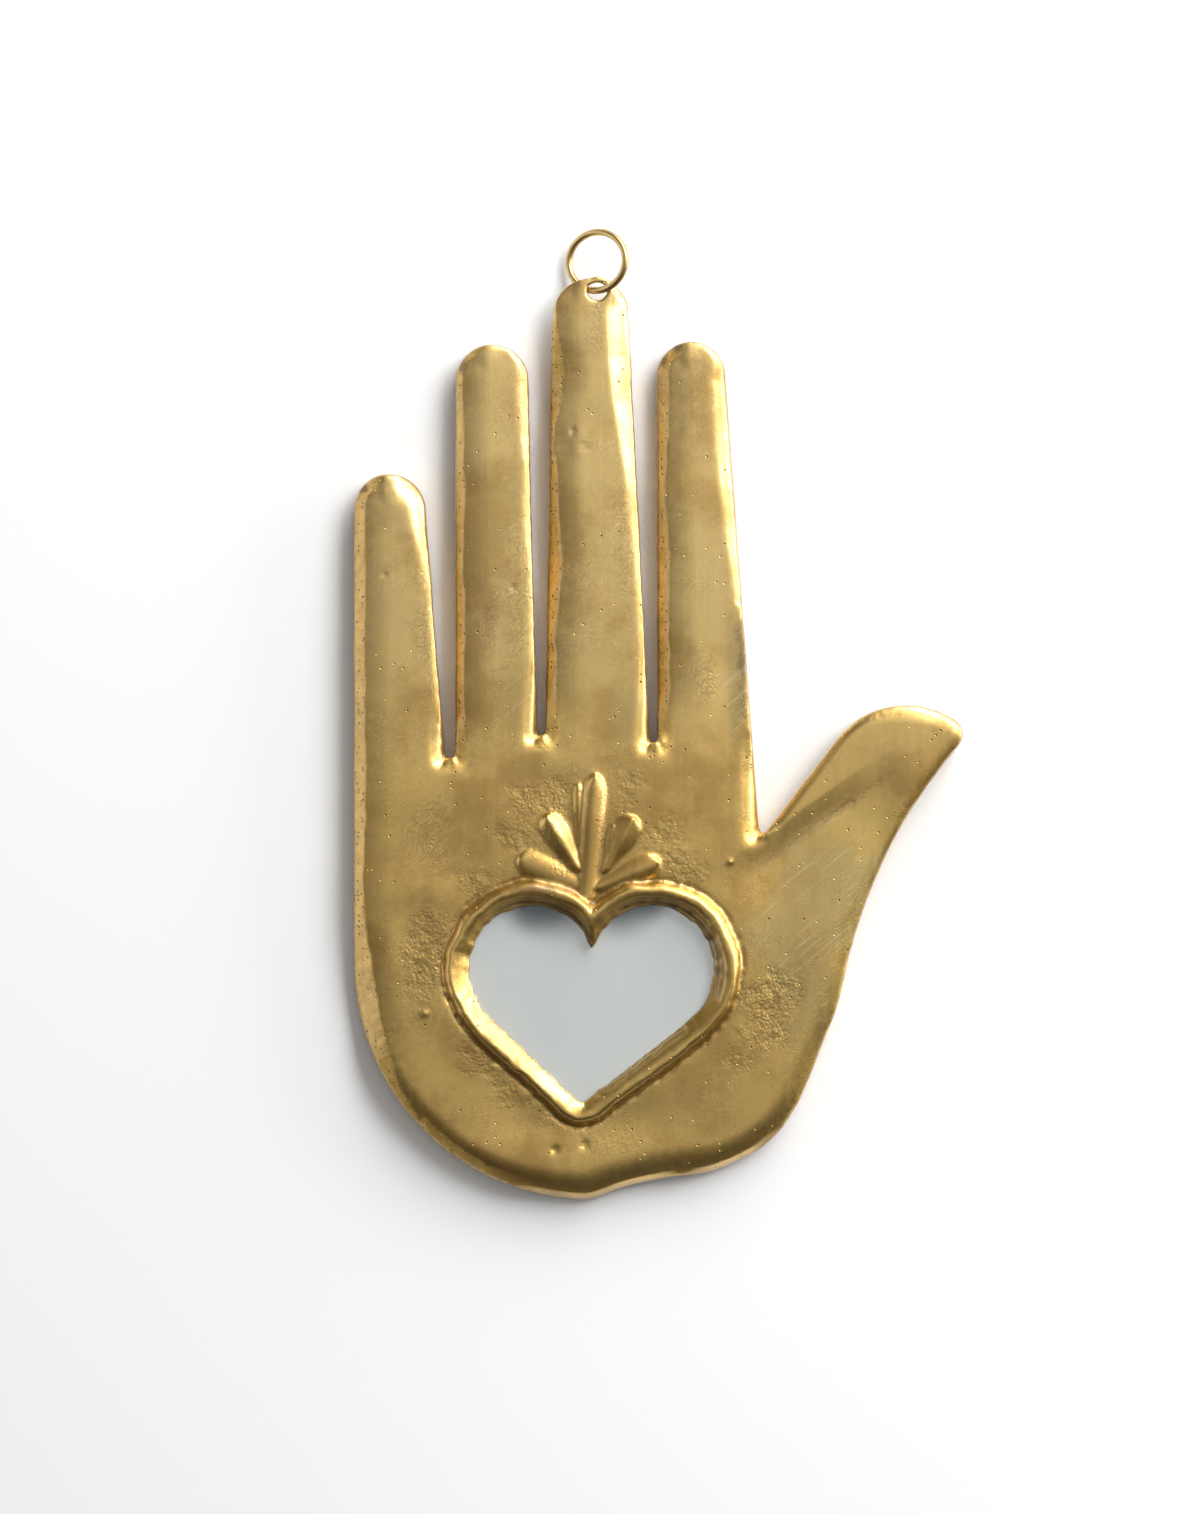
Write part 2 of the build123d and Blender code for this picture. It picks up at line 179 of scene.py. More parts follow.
def uneven(x, z, size, seed):
    """Smooth unevenness from -1 to 1, with bumps about `size` mm across."""
    u = x / size + 0.37 * seed
    v = z / size - 0.61 * seed
    iu = np.floor(u)
    iv = np.floor(v)
    fu = smooth(0.0, 1.0, u - iu)
    fv = smooth(0.0, 1.0, v - iv)
    corners = []
    for a, b in ((0, 0), (1, 0), (0, 1), (1, 1)):
        scattered = np.sin((iu + a) * 127.1 + (iv + b) * 311.7 + seed * 74.7) * 43758.5453
        corners.append(2.0 * (scattered - np.floor(scattered)) - 1.0)
    low = corners[0] * (1.0 - fu) + corners[1] * fu
    high = corners[2] * (1.0 - fu) + corners[3] * fu
    return low * (1.0 - fv) + high * fv


def along_flanks(at, tables, column):
    """Looks up a table of sizes for the finger whose flank is nearest."""
    found = np.zeros(len(at))
    for low, high, table in tables:
        rows = sorted(table)
        here = (at[:, 0] >= low) & (at[:, 0] < high)
        found[here] = np.interp(at[here, 1], [row[0] for row in rows], [row[column] for row in rows])
    return found


def band_width(at):
    """Width of the unbuffed band, with its ragged inner edge."""
    ragged = 0.25 * uneven(at[:, 0], at[:, 1], 4.0, 3) + 0.12 * uneven(at[:, 0], at[:, 1], 1.4, 4)
    return np.maximum(along_flanks(at, LEFT_FLANKS, 1) + ragged, 0.3)


# Width of the unbuffed band on each left flank, as (height, width)
BAND_OUTER = (
    (-240, 0.5), (-232, 0.9), (-222, 1.0), (-215, 2.2), (-208, 4.0), (-202, 4.8), (-192, 5.4),
    (-180, 4.4), (-170, 3.0), (-160, 2.5), (-148, 3.0), (-130, 3.1), (-100, 3.0), (-66, 2.9),
)
BAND_FOURTH = (
    (-128, 2.8), (-112, 2.3), (-95, 2.6), (-80, 2.0), (-62, 2.5), (-48, 2.1), (-33, 1.8),
)
BAND_MIDDLE = (
    (-127, 2.9), (-112, 2.6), (-101, 2.2), (-91, 3.0), (-81, 3.7), (-71, 2.6), (-61, 2.3),
    (-54, 1.5), (-48.5, 1.2), (-41, 3.1), (-35, 3.5), (-27, 2.4), (-21, 1.5), (-16, 0.8),
)
BAND_INDEX = (
    (-128, 3.2), (-110, 3.0), (-92, 2.8), (-81, 3.3), (-66, 2.0), (-54, 2.6), (-41, 3.1), (-33, 2.8),
)

# The soft turn on each right flank, as (height, width, fall)
TURN_LITTLE = (
    (-132, 5.0, 3.0), (-125, 4.2, 2.2), (-118, 2.4, 0.5), (-92, 2.4, 0.4), (-82, 3.0, 0.9),
    (-72, 4.8, 2.2), (-62, 6.8, 3.2),
)
TURN_FOURTH = (
    (-127, 5.0, 3.0), (-116, 3.6, 1.8), (-106, 2.8, 0.5), (-84, 2.8, 0.4), (-70, 3.2, 0.9),
    (-57, 2.2, 0.7), (-50, 3.0, 1.2), (-37, 3.4, 1.2), (-32, 2.6, 0.9), (-28, 1.6, 0.5),
)
TURN_MIDDLE = (
    (-128, 5.0, 3.0), (-116, 3.2, 1.6), (-102, 2.6, 0.6), (-84, 2.6, 0.7), (-70, 3.0, 1.1),
    (-58, 3.0, 1.3), (-45, 4.2, 2.0), (-30, 5.2, 2.5), (-18, 5.2, 2.3),
)
TURN_INDEX = (
    (-245, 6.0, 1.5), (-199, 6.0, 1.6), (-160, 6.0, 3.0), (-146, 5.5, 3.0), (-134, 4.6, 2.2),
    (-124, 3.0, 0.2), (-93, 3.0, 0.2), (-88, 2.4, 1.2), (-70, 3.6, 1.8), (-50, 4.6, 2.3),
    (-36, 4.4, 2.1), (-31, 3.0, 1.0), (-26, 1.6, 0.5),
)
TURN_THUMB = (
    (-245, 6.0, 1.5), (-199, 6.0, 1.6), (-184, 5.0, 1.5), (-170, 4.0, 1.4), (-125, 3.0, 1.0),
)

# Each finger's left and right flank, as (x from, x to, table)
LEFT_FLANKS = (
    (-90, -45, BAND_OUTER), (-45, -26, BAND_FOURTH), (-26, 0, BAND_MIDDLE), (0, 30, BAND_INDEX),
)
RIGHT_FLANKS = (
    (-60, -36.5, TURN_LITTLE), (-36.5, -14, TURN_FOURTH), (-14, 14, TURN_MIDDLE),
    (14, 56, TURN_INDEX), (56, 95, TURN_THUMB),
)

# The bottoms of the gaps between the fingers, and the one at the thumb
FINGER_GAPS = (-37.3, -131.0), (-14.6, -125.6), (14.6, -127.2)
THUMB_GAP = 41.0, -151.5

# The roll along the bottom of the palm, as (x, width), and where its edge flares back, as (x, share)
ROLL_WIDE = ((-60, 5.5), (-30, 6.5), (0, 8.5), (25, 8.0), (60, 6.0))
FLARED = ((-20, 0), (-8, 1), (10, 1), (21, 0), (23, 0), (28, 1), (36, 1), (46, 0))

# How far each flank falls away from the crown: a chamfer under the cast band on the left, a broad soft
# turn on the right, flatter on the upper middle finger, a short one over the fingertips and a long roll
# along the bottom of the palm
THUMB_STARTS = 38.0, 46.0
BAND_STEP = 0.9
BAND_STEP_WIDE = 7.0
CHAMFER = 0.82
CHAMFER_LESS_AT_TIP = 0.42
CHAMFER_LESS_AT_FOOT = 0.4
TURN_SPREAD = 1.2
TURN_CURVE = 2.5
FACET_FLATTER = 1.1
TOP_WIDE = 4.6
TOP_FALL = 1.5
ROLL_FALL = 3.0
FLARE_FALL = 2.2
FLARE_WIDE = 1.7
on_thumb = smooth(*THUMB_STARTS, at[:, 0])
faces_left = smooth(0.15, 0.75, -way[:, 0]) * (1.0 - on_thumb)
faces_right = smooth(0.15, 0.75, way[:, 0])
faces_down = smooth(0.1, 0.8, -way[:, 1]) * smooth(-188.0, -208.0, at[:, 1])
band = band_width(at)
on_middle = smooth(16.0, 13.0, np.abs(x))
steep = CHAMFER - CHAMFER_LESS_AT_TIP * smooth(-46.0, -30.0, z) * on_middle
steep = steep - CHAMFER_LESS_AT_FOOT * smooth(-194.0, -210.0, z)
fall_left = BAND_STEP * fade(inset - band, BAND_STEP_WIDE) + steep * np.clip(band - in_from_edge, 0.0, None)
turn = np.maximum(TURN_SPREAD * along_flanks(at, RIGHT_FLANKS, 1), 1.0)
turn_fall = along_flanks(at, RIGHT_FLANKS, 2)
facet = smooth(-78.0, -52.0, at[:, 1]) * (np.abs(at[:, 0]) < MIDDLE_HALF)
fall_right = turn_fall * fade(in_from_edge, turn, TURN_CURVE - FACET_FLATTER * facet)
over_top = TOP_WIDE - 2.0 * on_thumb * smooth(0.1, 0.6, -way[:, 0])
low_top = smooth(-46.0, -40.0, at[:, 0]) * (1.0 - on_thumb)
fall_top = (TOP_FALL - 0.6 * low_top) * fade(inset, over_top)
for gap_x, gap_z in (*FINGER_GAPS, THUMB_GAP):
    off_gap = np.hypot(at[:, 0] - gap_x, at[:, 1] - gap_z)
    fall_top *= 1.0 - smooth(7.0, 3.0, off_gap) * smooth(0.3, -0.3, way[:, 0])
    fall_left *= 1.0 - 0.6 * smooth(13.0, 4.0, off_gap)
fall_down = ROLL_FALL * fade(inset, np.interp(at[:, 0], *zip(*ROLL_WIDE)))
flared = np.interp(at[:, 0], *zip(*FLARED))
fall_down += FLARE_FALL * flared * np.clip(1.0 - inset / FLARE_WIDE, 0.0, 1.0)
fall_rest = np.clip(1.0 - faces_left - faces_right * (1.0 - faces_down) - faces_down, 0.0, 1.0)
weights = faces_left * (1.0 - faces_down), faces_right * (1.0 - faces_down), faces_down, fall_rest
falls = fall_left, fall_right, fall_down, fall_top
fall = sum(w * f for w, f in zip(weights, falls)) / sum(weights)

# Shallow hollows left by the linishing belt, and small dents, as (x, z, half width, half height, depth)
HOLLOWS = (
    (-9.2, -52.5, 3.2, 5.0, 0.55), (7.2, -41.0, 3.0, 6.0, 0.30), (-1.5, -46.0, 6.0, 5.0, 0.18),
    (-52.0, -74.0, 5.0, 5.0, 0.25), (-27.0, -97.0, 5.0, 9.0, 0.20), (33.2, -111.0, 4.2, 17.0, 0.55),
    (24.0, -118.0, 7.0, 10.0, 0.18), (-38.0, -155.0, 12.0, 9.0, 0.35), (-12.0, -137.0, 7.0, 5.0, 0.30),
    (22.0, -146.0, 9.0, 8.0, 0.22), (-46.0, -178.0, 6.0, 12.0, 0.25), (46.0, -190.0, 7.0, 14.0, 0.30),
    (-6.0, -48.9, 0.5, 0.9, 0.50), (-3.2, -52.2, 1.3, 0.4, 0.22), (-2.6, -53.4, 1.6, 0.4, 0.25),
    (-57.8, -63.9, 1.3, 0.9, 0.60), (-10.5, -228.6, 1.0, 0.9, 0.50), (-3.0, -227.4, 1.0, 1.0, 0.45),
    (-3.0, -221.0, 22.0, 7.0, 1.00), (-24.0, -211.0, 12.0, 9.0, 0.6), (36.4, -91.3, 0.8, 0.8, 0.80),
    (-53.0, -85.0, 0.5, 0.5, 0.35), (-21.0, -88.0, 0.5, 0.5, 0.35),
)

# Small beads of spilt metal, as (x, z, size, height)
BEADS = (
    (12.6, -126.8, 1.1, 0.7), (15.9, -126.5, 1.5, 0.9), (33.2, -156.6, 0.6, 0.5),
    (-43.0, -194.5, 0.7, 0.5),
)

# The two creases in the thumb, as (start, end), and then as (line, reach above, reach below, depth)
THUMB_VALLEY = (33.0, -163.0), (75.0, -133.5)
THUMB_CREASE = (59.0, -182.0), (75.0, -141.0)
CREASES = (THUMB_VALLEY, 5.0, 20.0, 1.1), (THUMB_CREASE, 4.0, 2.5, 0.4)


def off_line(x, z, start, end):
    """Distance across a line (signed, positive on its left), and how far along it from 0 to 1."""
    run_x = end[0] - start[0]
    run_z = end[1] - start[1]
    run = np.hypot(run_x, run_z)
    along = ((x - start[0]) * run_x + (z - start[1]) * run_z) / run ** 2
    across = (run_x * (z - start[1]) - run_z * (x - start[0])) / run
    return across, along


# The buffed faces: slow waves, hollows from the belt, the two creases in the thumb, wrinkles under the
# gaps between the fingers, and beads
CREASE_DULL = 0.015
CREASE_REACH = 1.12
WRINKLE = 0.14
EDGE_FALL = 0.5
EDGE_WIDE = 0.9
sway = 0.16 * uneven(x, z, 26.0, 1) + 0.07 * uneven(x, z, 11.0, 2) - 0.12
for hollow_x, hollow_z, half_x, half_z, deep in HOLLOWS:
    sway -= deep * np.exp(-((x - hollow_x) / half_x) ** 2 - ((z - hollow_z) / half_z) ** 2)
for line, above, below, deep in CREASES:
    across, along = off_line(x, z, *line)
    sides = np.sqrt(np.where(across > 0.0, across / above, across / below) ** 2 + CREASE_DULL)
    creased = deep * np.clip(CREASE_REACH - sides, 0.0, 1.0)
    sway -= creased * smooth(-0.1, 0.3, along) * smooth(1.1, 0.7, along)
for gap_x, gap_z in FINGER_GAPS:
    wrinkled = smooth(4.5, 1.0, np.hypot(x - gap_x, z - gap_z))
    sway -= WRINKLE * wrinkled * (0.6 + uneven(x, z, 1.3, 12))
sharp_front = crown - EDGE_FALL * fade(inset, EDGE_WIDE)
new_front = np.minimum(crown - fall + np.minimum(sway, 0.0), sharp_front)
for bead_x, bead_z, size, high in BEADS:
    new_front += high * np.exp(-((x - bead_x) ** 2 + (z - bead_z) ** 2) / size ** 2)

# The ridges that the chasing tool left inside the rim lie this far apart
RIDGE_PITCH = 1.25


def tool_ridges(off_rim, x, z):
    """Fine ridges that run along the inside of the rim, from -1 to 1."""
    return np.sin(off_rim * 2.0 * np.pi / RIDGE_PITCH + 1.5 * uneven(x, z, 5.0, 19))


def looks_down(heart_way):
    """1 where the inside of the rim looks down to the floor, 0 where it looks up."""
    return smooth(-0.1, 0.6, -0.6 * heart_way[:, 0] - 0.8 * heart_way[:, 1])


# The rim is a roll with a broad inner slope, and its ragged foot is chased round
RIM_WIDTH = 6.2
RIM_CREST = 4.3
RIM_PROUD = 2.7
RIM_LIP = 8.0
LIP_LIFT = 0.9
LIP_DROP = 0.5
RIDGE_HIGH = 0.28
RIM_OUTER = 2.3
CHASED_DEEP = 0.45
CHASED_OFF = 0.4
CHASED_WIDE = 0.65
ragged_rim = off_heart + 0.40 * uneven(x, z, 6.0, 13) + 0.18 * uneven(x, z, 1.7, 14)
crest = crown + RIM_PROUD + 0.2 * uneven(x, z, 9.0, 15)
up_slope = np.clip(ragged_rim / RIM_CREST, 0.0, 1.0)
faces_light = smooth(0.35, 0.85, 0.75 * heart_way[:, 0] + 0.66 * heart_way[:, 1])
faces_floor = looks_down(heart_way)
lip_depth = RIM_LIP + LIP_LIFT * faces_light - LIP_DROP * faces_floor
slope = np.sin(up_slope * np.pi / 2.0) ** 0.8
slope += faces_light * (0.8 * up_slope + 0.2 * slope - slope)
rim_inside = lip_depth + (crest - lip_depth) * slope
ridges = tool_ridges(ragged_rim, x, z)
rim_inside += RIDGE_HIGH * faces_floor * ridges * smooth(0.2, 0.8, ragged_rim) * smooth(3.9, 3.0, ragged_rim)
down_slope = np.clip((ragged_rim - RIM_CREST) / RIM_OUTER, 0.0, 1.0)
rim_outside = crown + (crest - crown) * np.cos(down_slope * np.pi / 2.0)
rim_front = np.where(ragged_rim < RIM_CREST, rim_inside, rim_outside)
chased = CHASED_DEEP * np.exp(-((ragged_rim - RIM_WIDTH - CHASED_OFF) / CHASED_WIDE) ** 2)
chased = chased * (0.8 + 0.7 * uneven(x, z, 1.3, 8))

# The petals and the narrow leaves beside two of them, as (foot, tip, half width at the foot, half width
# near the tip, height, roundness)
PETALS = (
    ((-2.7, -165.5), (-0.4, -134.8), 2.3, 3.2, 1.8, 2.0),
    ((-4.6, -152.0), (-4.7, -137.0), 0.7, 1.4, 0.8, 1.6),
    ((-5.0, -157.8), (-12.9, -145.0), 1.8, 3.2, 1.7, 1.4),
    ((2.3, -158.2), (9.2, -145.4), 1.2, 3.5, 1.8, 1.4),
    ((2.2, -157.4), (4.2, -147.2), 0.7, 1.4, 0.8, 1.6),
    ((-3.4, -163.2), (-19.6, -155.6), 2.1, 3.5, 0.8, 2.0),
    ((0.6, -162.8), (15.6, -156.4), 1.7, 3.3, 1.3, 1.7),
)

# The petals swell from the notch of the heart to a blunt tip, each with a valley round it
BLUNT_FROM = 0.8
BLUNT_LONG = 0.2
petal_rise = np.zeros(len(x))
for foot, tip, foot_half, tip_half, height, roundness in PETALS:
    across, along = off_line(x, z, foot, tip)
    half = foot_half + (tip_half - foot_half) * smooth(0.0, 0.7, along)
    blunt = np.clip(along - BLUNT_FROM, 0.0, None) / BLUNT_LONG
    half = half * np.sqrt(np.clip(1.0 - blunt ** 2, 0.0, 1.0))
    half = half * smooth(-0.12, 0.02, along)
    swell = np.clip(1.0 - np.abs(across / np.maximum(half, 0.05)) ** roundness, 0.0, 1.0)
    rise = height * (0.6 + 0.4 * smooth(0.1, 0.7, along)) * swell ** 0.9 * smooth(0.1, 0.5, half)
    petal_rise = np.maximum(petal_rise, rise)


def patchy(x, z, patches):
    """How far each point lies in a list of patches with ragged edges, from 0 to 1."""
    found = np.zeros(len(x))
    ragged = 0.35 * uneven(x, z, 5.0, 5) + 0.3 * uneven(x, z, 2.0, 16)
    for patch_x, patch_z, half_x, half_z, strength in patches:
        reach = np.hypot((x - patch_x) / half_x, (z - patch_z) / half_z) + ragged
        found = np.maximum(found, strength * smooth(1.35, 0.3, reach))
    return found


# Patches where the ground is rough from the sand, as (x, z, half width, half height, strength)
ROUGH_PATCHES = (
    (-44.0, -181.0, 8.0, 15.0, 1.0), (-30.0, -206.0, 6.0, 6.5, 0.8), (-21.0, -214.0, 7.5, 5.0, 0.8),
    (-11.0, -221.0, 7.0, 3.2, 0.6), (-13.0, -142.5, 8.0, 8.5, 1.0), (7.0, -140.0, 5.5, 7.0, 0.8),
    (-20.0, -150.0, 6.0, 8.0, 0.8), (17.5, -151.0, 6.5, 7.0, 0.8), (20.0, -158.5, 7.0, 5.0, 0.9),
    (42.5, -193.0, 8.0, 13.0, 1.0), (-30.0, -163.0, 6.0, 6.0, 0.8), (-9.5, -157.5, 3.5, 3.0, 0.9),
    (36.0, -206.0, 6.0, 4.0, 0.9), (-33.0, -198.0, 4.0, 5.0, 0.7), (2.0, -227.0, 14.0, 3.0, 0.4),
    (-0.8, -21.5, 2.6, 7.0, 0.6), (1.5, -147.0, 1.4, 8.0, 0.6),
)

# The ground round the heart and between the petals is left rough from the sand
GRAIN_HIGH = 0.09
GRAIN_LIMIT = 0.15
PETALS_MIDDLE = -1.5, -150.0
PETALS_HALF = 26.0, 22.0
rough = patchy(x, z, ROUGH_PATCHES) * smooth(6.0, 6.8, off_heart)
sandy = GRAIN_HIGH * rough * (uneven(x + 0.5 * z, z, 1.7, 6) + 0.8 * uneven(x, z, 0.95, 7) - 0.5)
off_petals = np.hypot((x - PETALS_MIDDLE[0]) / PETALS_HALF[0], (z - PETALS_MIDDLE[1]) / PETALS_HALF[1])

# The palm side takes all of that, the rim and the petals in full, and the sides follow its edge
in_front = smooth(cad_front - 1.2, cad_front - 0.5, depth)
relief = np.maximum(petal_rise, np.where(ragged_rim < RIM_WIDTH + 0.6, rim_front - crown, 0.0))
ground = np.where(relief > 0.03, relief, np.minimum(sandy, GRAIN_LIMIT))
face_front = new_front + ground - chased * (petal_rise < 0.3)
decorated = (off_heart < 9.0) | (off_petals < 1.3)
bare_face = depth + in_front * (new_front - cad_front + sandy)
deep_face = np.where(decorated & (in_front > 0.5), face_front, bare_face)
deep_face = np.where((off_heart < 0.6) & (depth < RIM_LIP), depth, deep_face)
deep_edge = depth * new_front / np.maximum(cad_front, 0.1)
deep_face = deep_edge + (deep_face - deep_edge) * smooth(8.0, 11.0, inset)

# The thin fingertip keeps its full thickness out to the edge, and bends back a little on both sides
TIP_WEB_Z = -24.7
TIP_WEB = 1.2
BEND = 2.3
BEND_WIDE = 6.2
BEND_CURVE = 1.4
TIP_ROUND = 0.5
TIP_ROUND_WIDE = 1.8
TIP_THICKER = 0.7
TIP_THICKER_WIDE = 2.6
TIP_DEEPEST = 2.2
FRONT_LIMIT = 11.97
at_tip = smooth(TIP_WEB_Z - 7.0, TIP_WEB_Z, z) * on_middle
bend_right = BEND * faces_right * fade(in_from_edge, BEND_WIDE, BEND_CURVE)
bend = (bend_right + faces_left * fall_left) * smooth(3.2, 6.5, off_hole)
tip_front = crown - TIP_ROUND * fade(in_from_edge, TIP_ROUND_WIDE)
tip_back = crown - TIP_WEB - TIP_THICKER * fade(inset, TIP_THICKER_WIDE, 1) * smooth(3.4, 4.4, off_hole)
tip_side = deep_edge + (depth - bend - deep_edge) * smooth(TIP_WEB_Z - 2.4, TIP_WEB_Z - 0.4, z)
tip_face = np.where(normals[:, 1] > 0.5, tip_back - bend, tip_side)
tip_face = np.where(normals[:, 1] < -0.2, tip_front - bend, tip_face)
tip_face = np.where(depth < crown - TIP_DEEPEST, tip_side, tip_face)
tip_face = np.where(off_hole < 3.3, depth - bend, tip_face)
depth = np.minimum(deep_face + (tip_face - deep_face) * at_tip, FRONT_LIMIT)

# The stretch of the heart's lip that bulges into the opening, as (start, end)
LIP_BULGE = (26.5, -196.5), (1.0, -214.0)

# The outline was filed by eye, so it wanders inwards a little, and the heart's lip was never trimmed.
# The brass above the hole is drawn down a little towards it.
FILED_WIDE = 5.0
DRAWN_DOWN = 0.5
BULGE = 0.9
BULGE_WIDE = 2.5
SEAT_DEPTH = 6.3
SKIN_TRIANGLES = 190000
BACK_CLEAR = 0.002
wander = 0.16 + 0.12 * uneven(at[:, 0], at[:, 1], 9.0, 9) + 0.06 * uneven(at[:, 0], at[:, 1], 2.5, 10)
wander = wander * fade(inset, FILED_WIDE)
wander -= widened
wander *= smooth(2.8, 3.4, off_hole)
above_hole = smooth(0.45, 0.9, (z - HOLE_Z) / np.maximum(off_hole, 0.1)) * smooth(4.0, 2.6, off_hole)
x -= way[:, 0] * wander
z -= way[:, 1] * wander + DRAWN_DOWN * above_hole
lip_x, lip_z = heart_at[:, 0], heart_at[:, 1]
lip = 0.38 * uneven(lip_x, lip_z, 3.0, 17) + 0.30 * uneven(lip_x, lip_z, 1.2, 18)
across, along = off_line(lip_x, lip_z, *LIP_BULGE)
on_bulge = (np.abs(across) < BULGE_WIDE) & (along > 0.0) & (along < 1.0)
bulge = np.where(on_bulge, np.sin(np.clip(along, 0, 1) * np.pi), 0.0)
lip = (lip - BULGE * bulge) * smooth(2.6, 0.3, off_heart) * smooth(SEAT_DEPTH, SEAT_DEPTH + 1.0, depth)
x += heart_way[:, 0] * lip
z += heart_way[:, 1] * lip
cast_hand.data.vertices.foreach_set("co", (np.stack((x, -depth, z), axis=1) * MM).ravel())
settle(cast_hand, "REMESH", mode="VOXEL", voxel_size=SKIN_VOXEL * MM)
cast_hand.data.calc_loop_triangles()
settle(cast_hand, "DECIMATE", ratio=min(1.0, SKIN_TRIANGLES / len(cast_hand.data.loop_triangles)))
skin_at = of_vertices(cast_hand.data, "co")
skin_at[:, 1] = np.minimum(skin_at[:, 1], -BACK_CLEAR * MM)
cast_hand.data.vertices.foreach_set("co", skin_at.ravel())
cast_hand.data.name = "cast_hand"
cast_hand.data.shade_smooth()

# Patches hatched with short scratches, as (x, z, half width, half height, strength)
HATCHED = (
    (-42.5, -98.0, 3.8, 24.0, 0.8), (-20.0, -94.0, 4.0, 24.0, 0.8), (-27.0, -96.0, 3.2, 10.0, 1.0),
    (7.5, -78.0, 3.6, 22.0, 0.8), (26.5, -113.0, 3.6, 9.0, 1.0), (37.0, -112.0, 3.4, 18.0, 1.0),
    (-42.0, -152.0, 9.0, 13.0, 1.0), (45.0, -195.0, 9.0, 13.0, 0.8), (5.0, -222.0, 24.0, 5.0, 0.6),
    (64.0, -175.0, 6.0, 14.0, 0.7), (78.0, -146.0, 6.0, 10.0, 0.7), (-58.0, -195.0, 5.0, 22.0, 0.5),
    (-8.0, -137.0, 14.0, 6.0, 0.7), (52.0, -215.0, 6.0, 10.0, 0.7), (-30.0, -120.0, 10.0, 10.0, 0.5),
)

# Brown smudges of old polish and dirt, which also carry painted shade on the fingertip tops, the middle
# fingertip's left side, the rim's outer slope, the thumb and the lower right of the index, and places that
# have gone a little green, both as (x, z, half width, half height, strength)
SMUDGES_AND_PAINTED_SHADE = (
    (20.3, -27.9, 2.4, 1.8, 0.9), (16.8, -30.8, 1.2, 2.0, 0.8), (-33.2, -32.8, 1.4, 2.0, 0.7),
    (-30.0, -29.0, 3.0, 1.2, 0.4), (-15.5, -163.6, 7.0, 1.6, 0.6), (-58.6, -63.2, 1.5, 1.0, 0.8),
    (-8.9, -20.0, 1.2, 7.0, 0.45), (36.4, -107.0, 2.0, 11.0, 0.7), (63.0, -133.5, 14.0, 8.0, 0.22),
    (36.3, -92.0, 1.0, 1.2, 0.7), (-27.0, -96.0, 2.0, 8.0, 0.35), (-28.5, -88.5, 3.5, 2.0, 0.3),
    (-3.0, -52.8, 1.6, 1.3, 0.25), (-9.0, -54.0, 2.0, 2.0, 0.3),
)
GREENED = (
    (60.0, -163.0, 13.0, 17.0, 1.0), (47.0, -176.0, 9.0, 12.0, 0.8), (53.0, -190.0, 7.0, 16.0, 0.6),
    (35.5, -112.0, 3.5, 16.0, 0.8), (-20.0, -68.0, 3.5, 12.0, 0.5), (7.0, -120.0, 4.0, 12.0, 0.6),
    (-20.0, -116.0, 4.0, 12.0, 0.5),
)

# Where the cast skin was left, and where the ground is rough or hatched, painted on the finished mesh
x, depth, z, inset, at, way, off_heart, heart_at, heart_way = lay_of_the_hand(cast_hand.data)
normals = of_vertices(cast_hand.data, "normal")
palm_side = smooth(0.2, -0.2, normals[:, 1])
on_thumb = smooth(*THUMB_STARTS, at[:, 0])
band = band_width(at)
cast_skin = smooth(0.15, 0.6, -way[:, 0]) * (1.0 - on_thumb) * smooth(band + 0.2, band - 0.1, inset)
cast_skin *= smooth(-15.0, -24.0, z)
for gap_x, gap_z in FINGER_GAPS:
    off_gap = np.hypot(at[:, 0] - gap_x, at[:, 1] - gap_z)
    below_gap = smooth(6.0, 3.0, off_gap) * smooth(0.5, 0.1, way[:, 0]) * smooth(4.6, 3.4, inset)
    cast_skin = np.maximum(cast_skin, below_gap)
inside = smooth(0.0, 0.35, normals[:, 1])
cast_skin = np.maximum(cast_skin, inside)
rough = patchy(x, z, ROUGH_PATCHES) * smooth(5.8, 6.6, off_heart)
across, along = off_line(x, z, *THUMB_VALLEY)
in_valley = smooth(2.2, 0.2, np.abs(across)) * smooth(-0.1, 0.2, along) * smooth(1.1, 0.9, along)
hatched = np.maximum(patchy(x, z, HATCHED), 0.8 * in_valley)
hatched *= smooth(5.5, 7.0, off_heart) * smooth(0.2, -0.3, normals[:, 1])
greened = 0.7 * patchy(x, z, GREENED) * palm_side

# Grime sits in what lies lower than the skin round it and along the heart's lip. Painted shade darkens the
# inside of the rim where it looks down, the thumb's valley and a thin line along the edges, and the smudges
# bring dirt and painted shade together.
HOLLOW_FROM, HOLLOW_FULL = 0.012, 0.075
HOLLOW_SPREADS = 3
ends = np.empty(len(cast_hand.data.edges) * 2, dtype=np.int32)
cast_hand.data.edges.foreach_get("vertices", ends)
ends = ends.reshape(-1, 2)
shares = np.bincount(ends.ravel(), minlength=len(x))


def round_about(values):
    """The mean of each vertex's neighbours along the mesh's edges."""
    total = np.zeros_like(values)
    for a, b in ((0, 1), (1, 0)):
        np.add.at(total, ends[:, a], values[ends[:, b]])
    return (total.T / shares).T


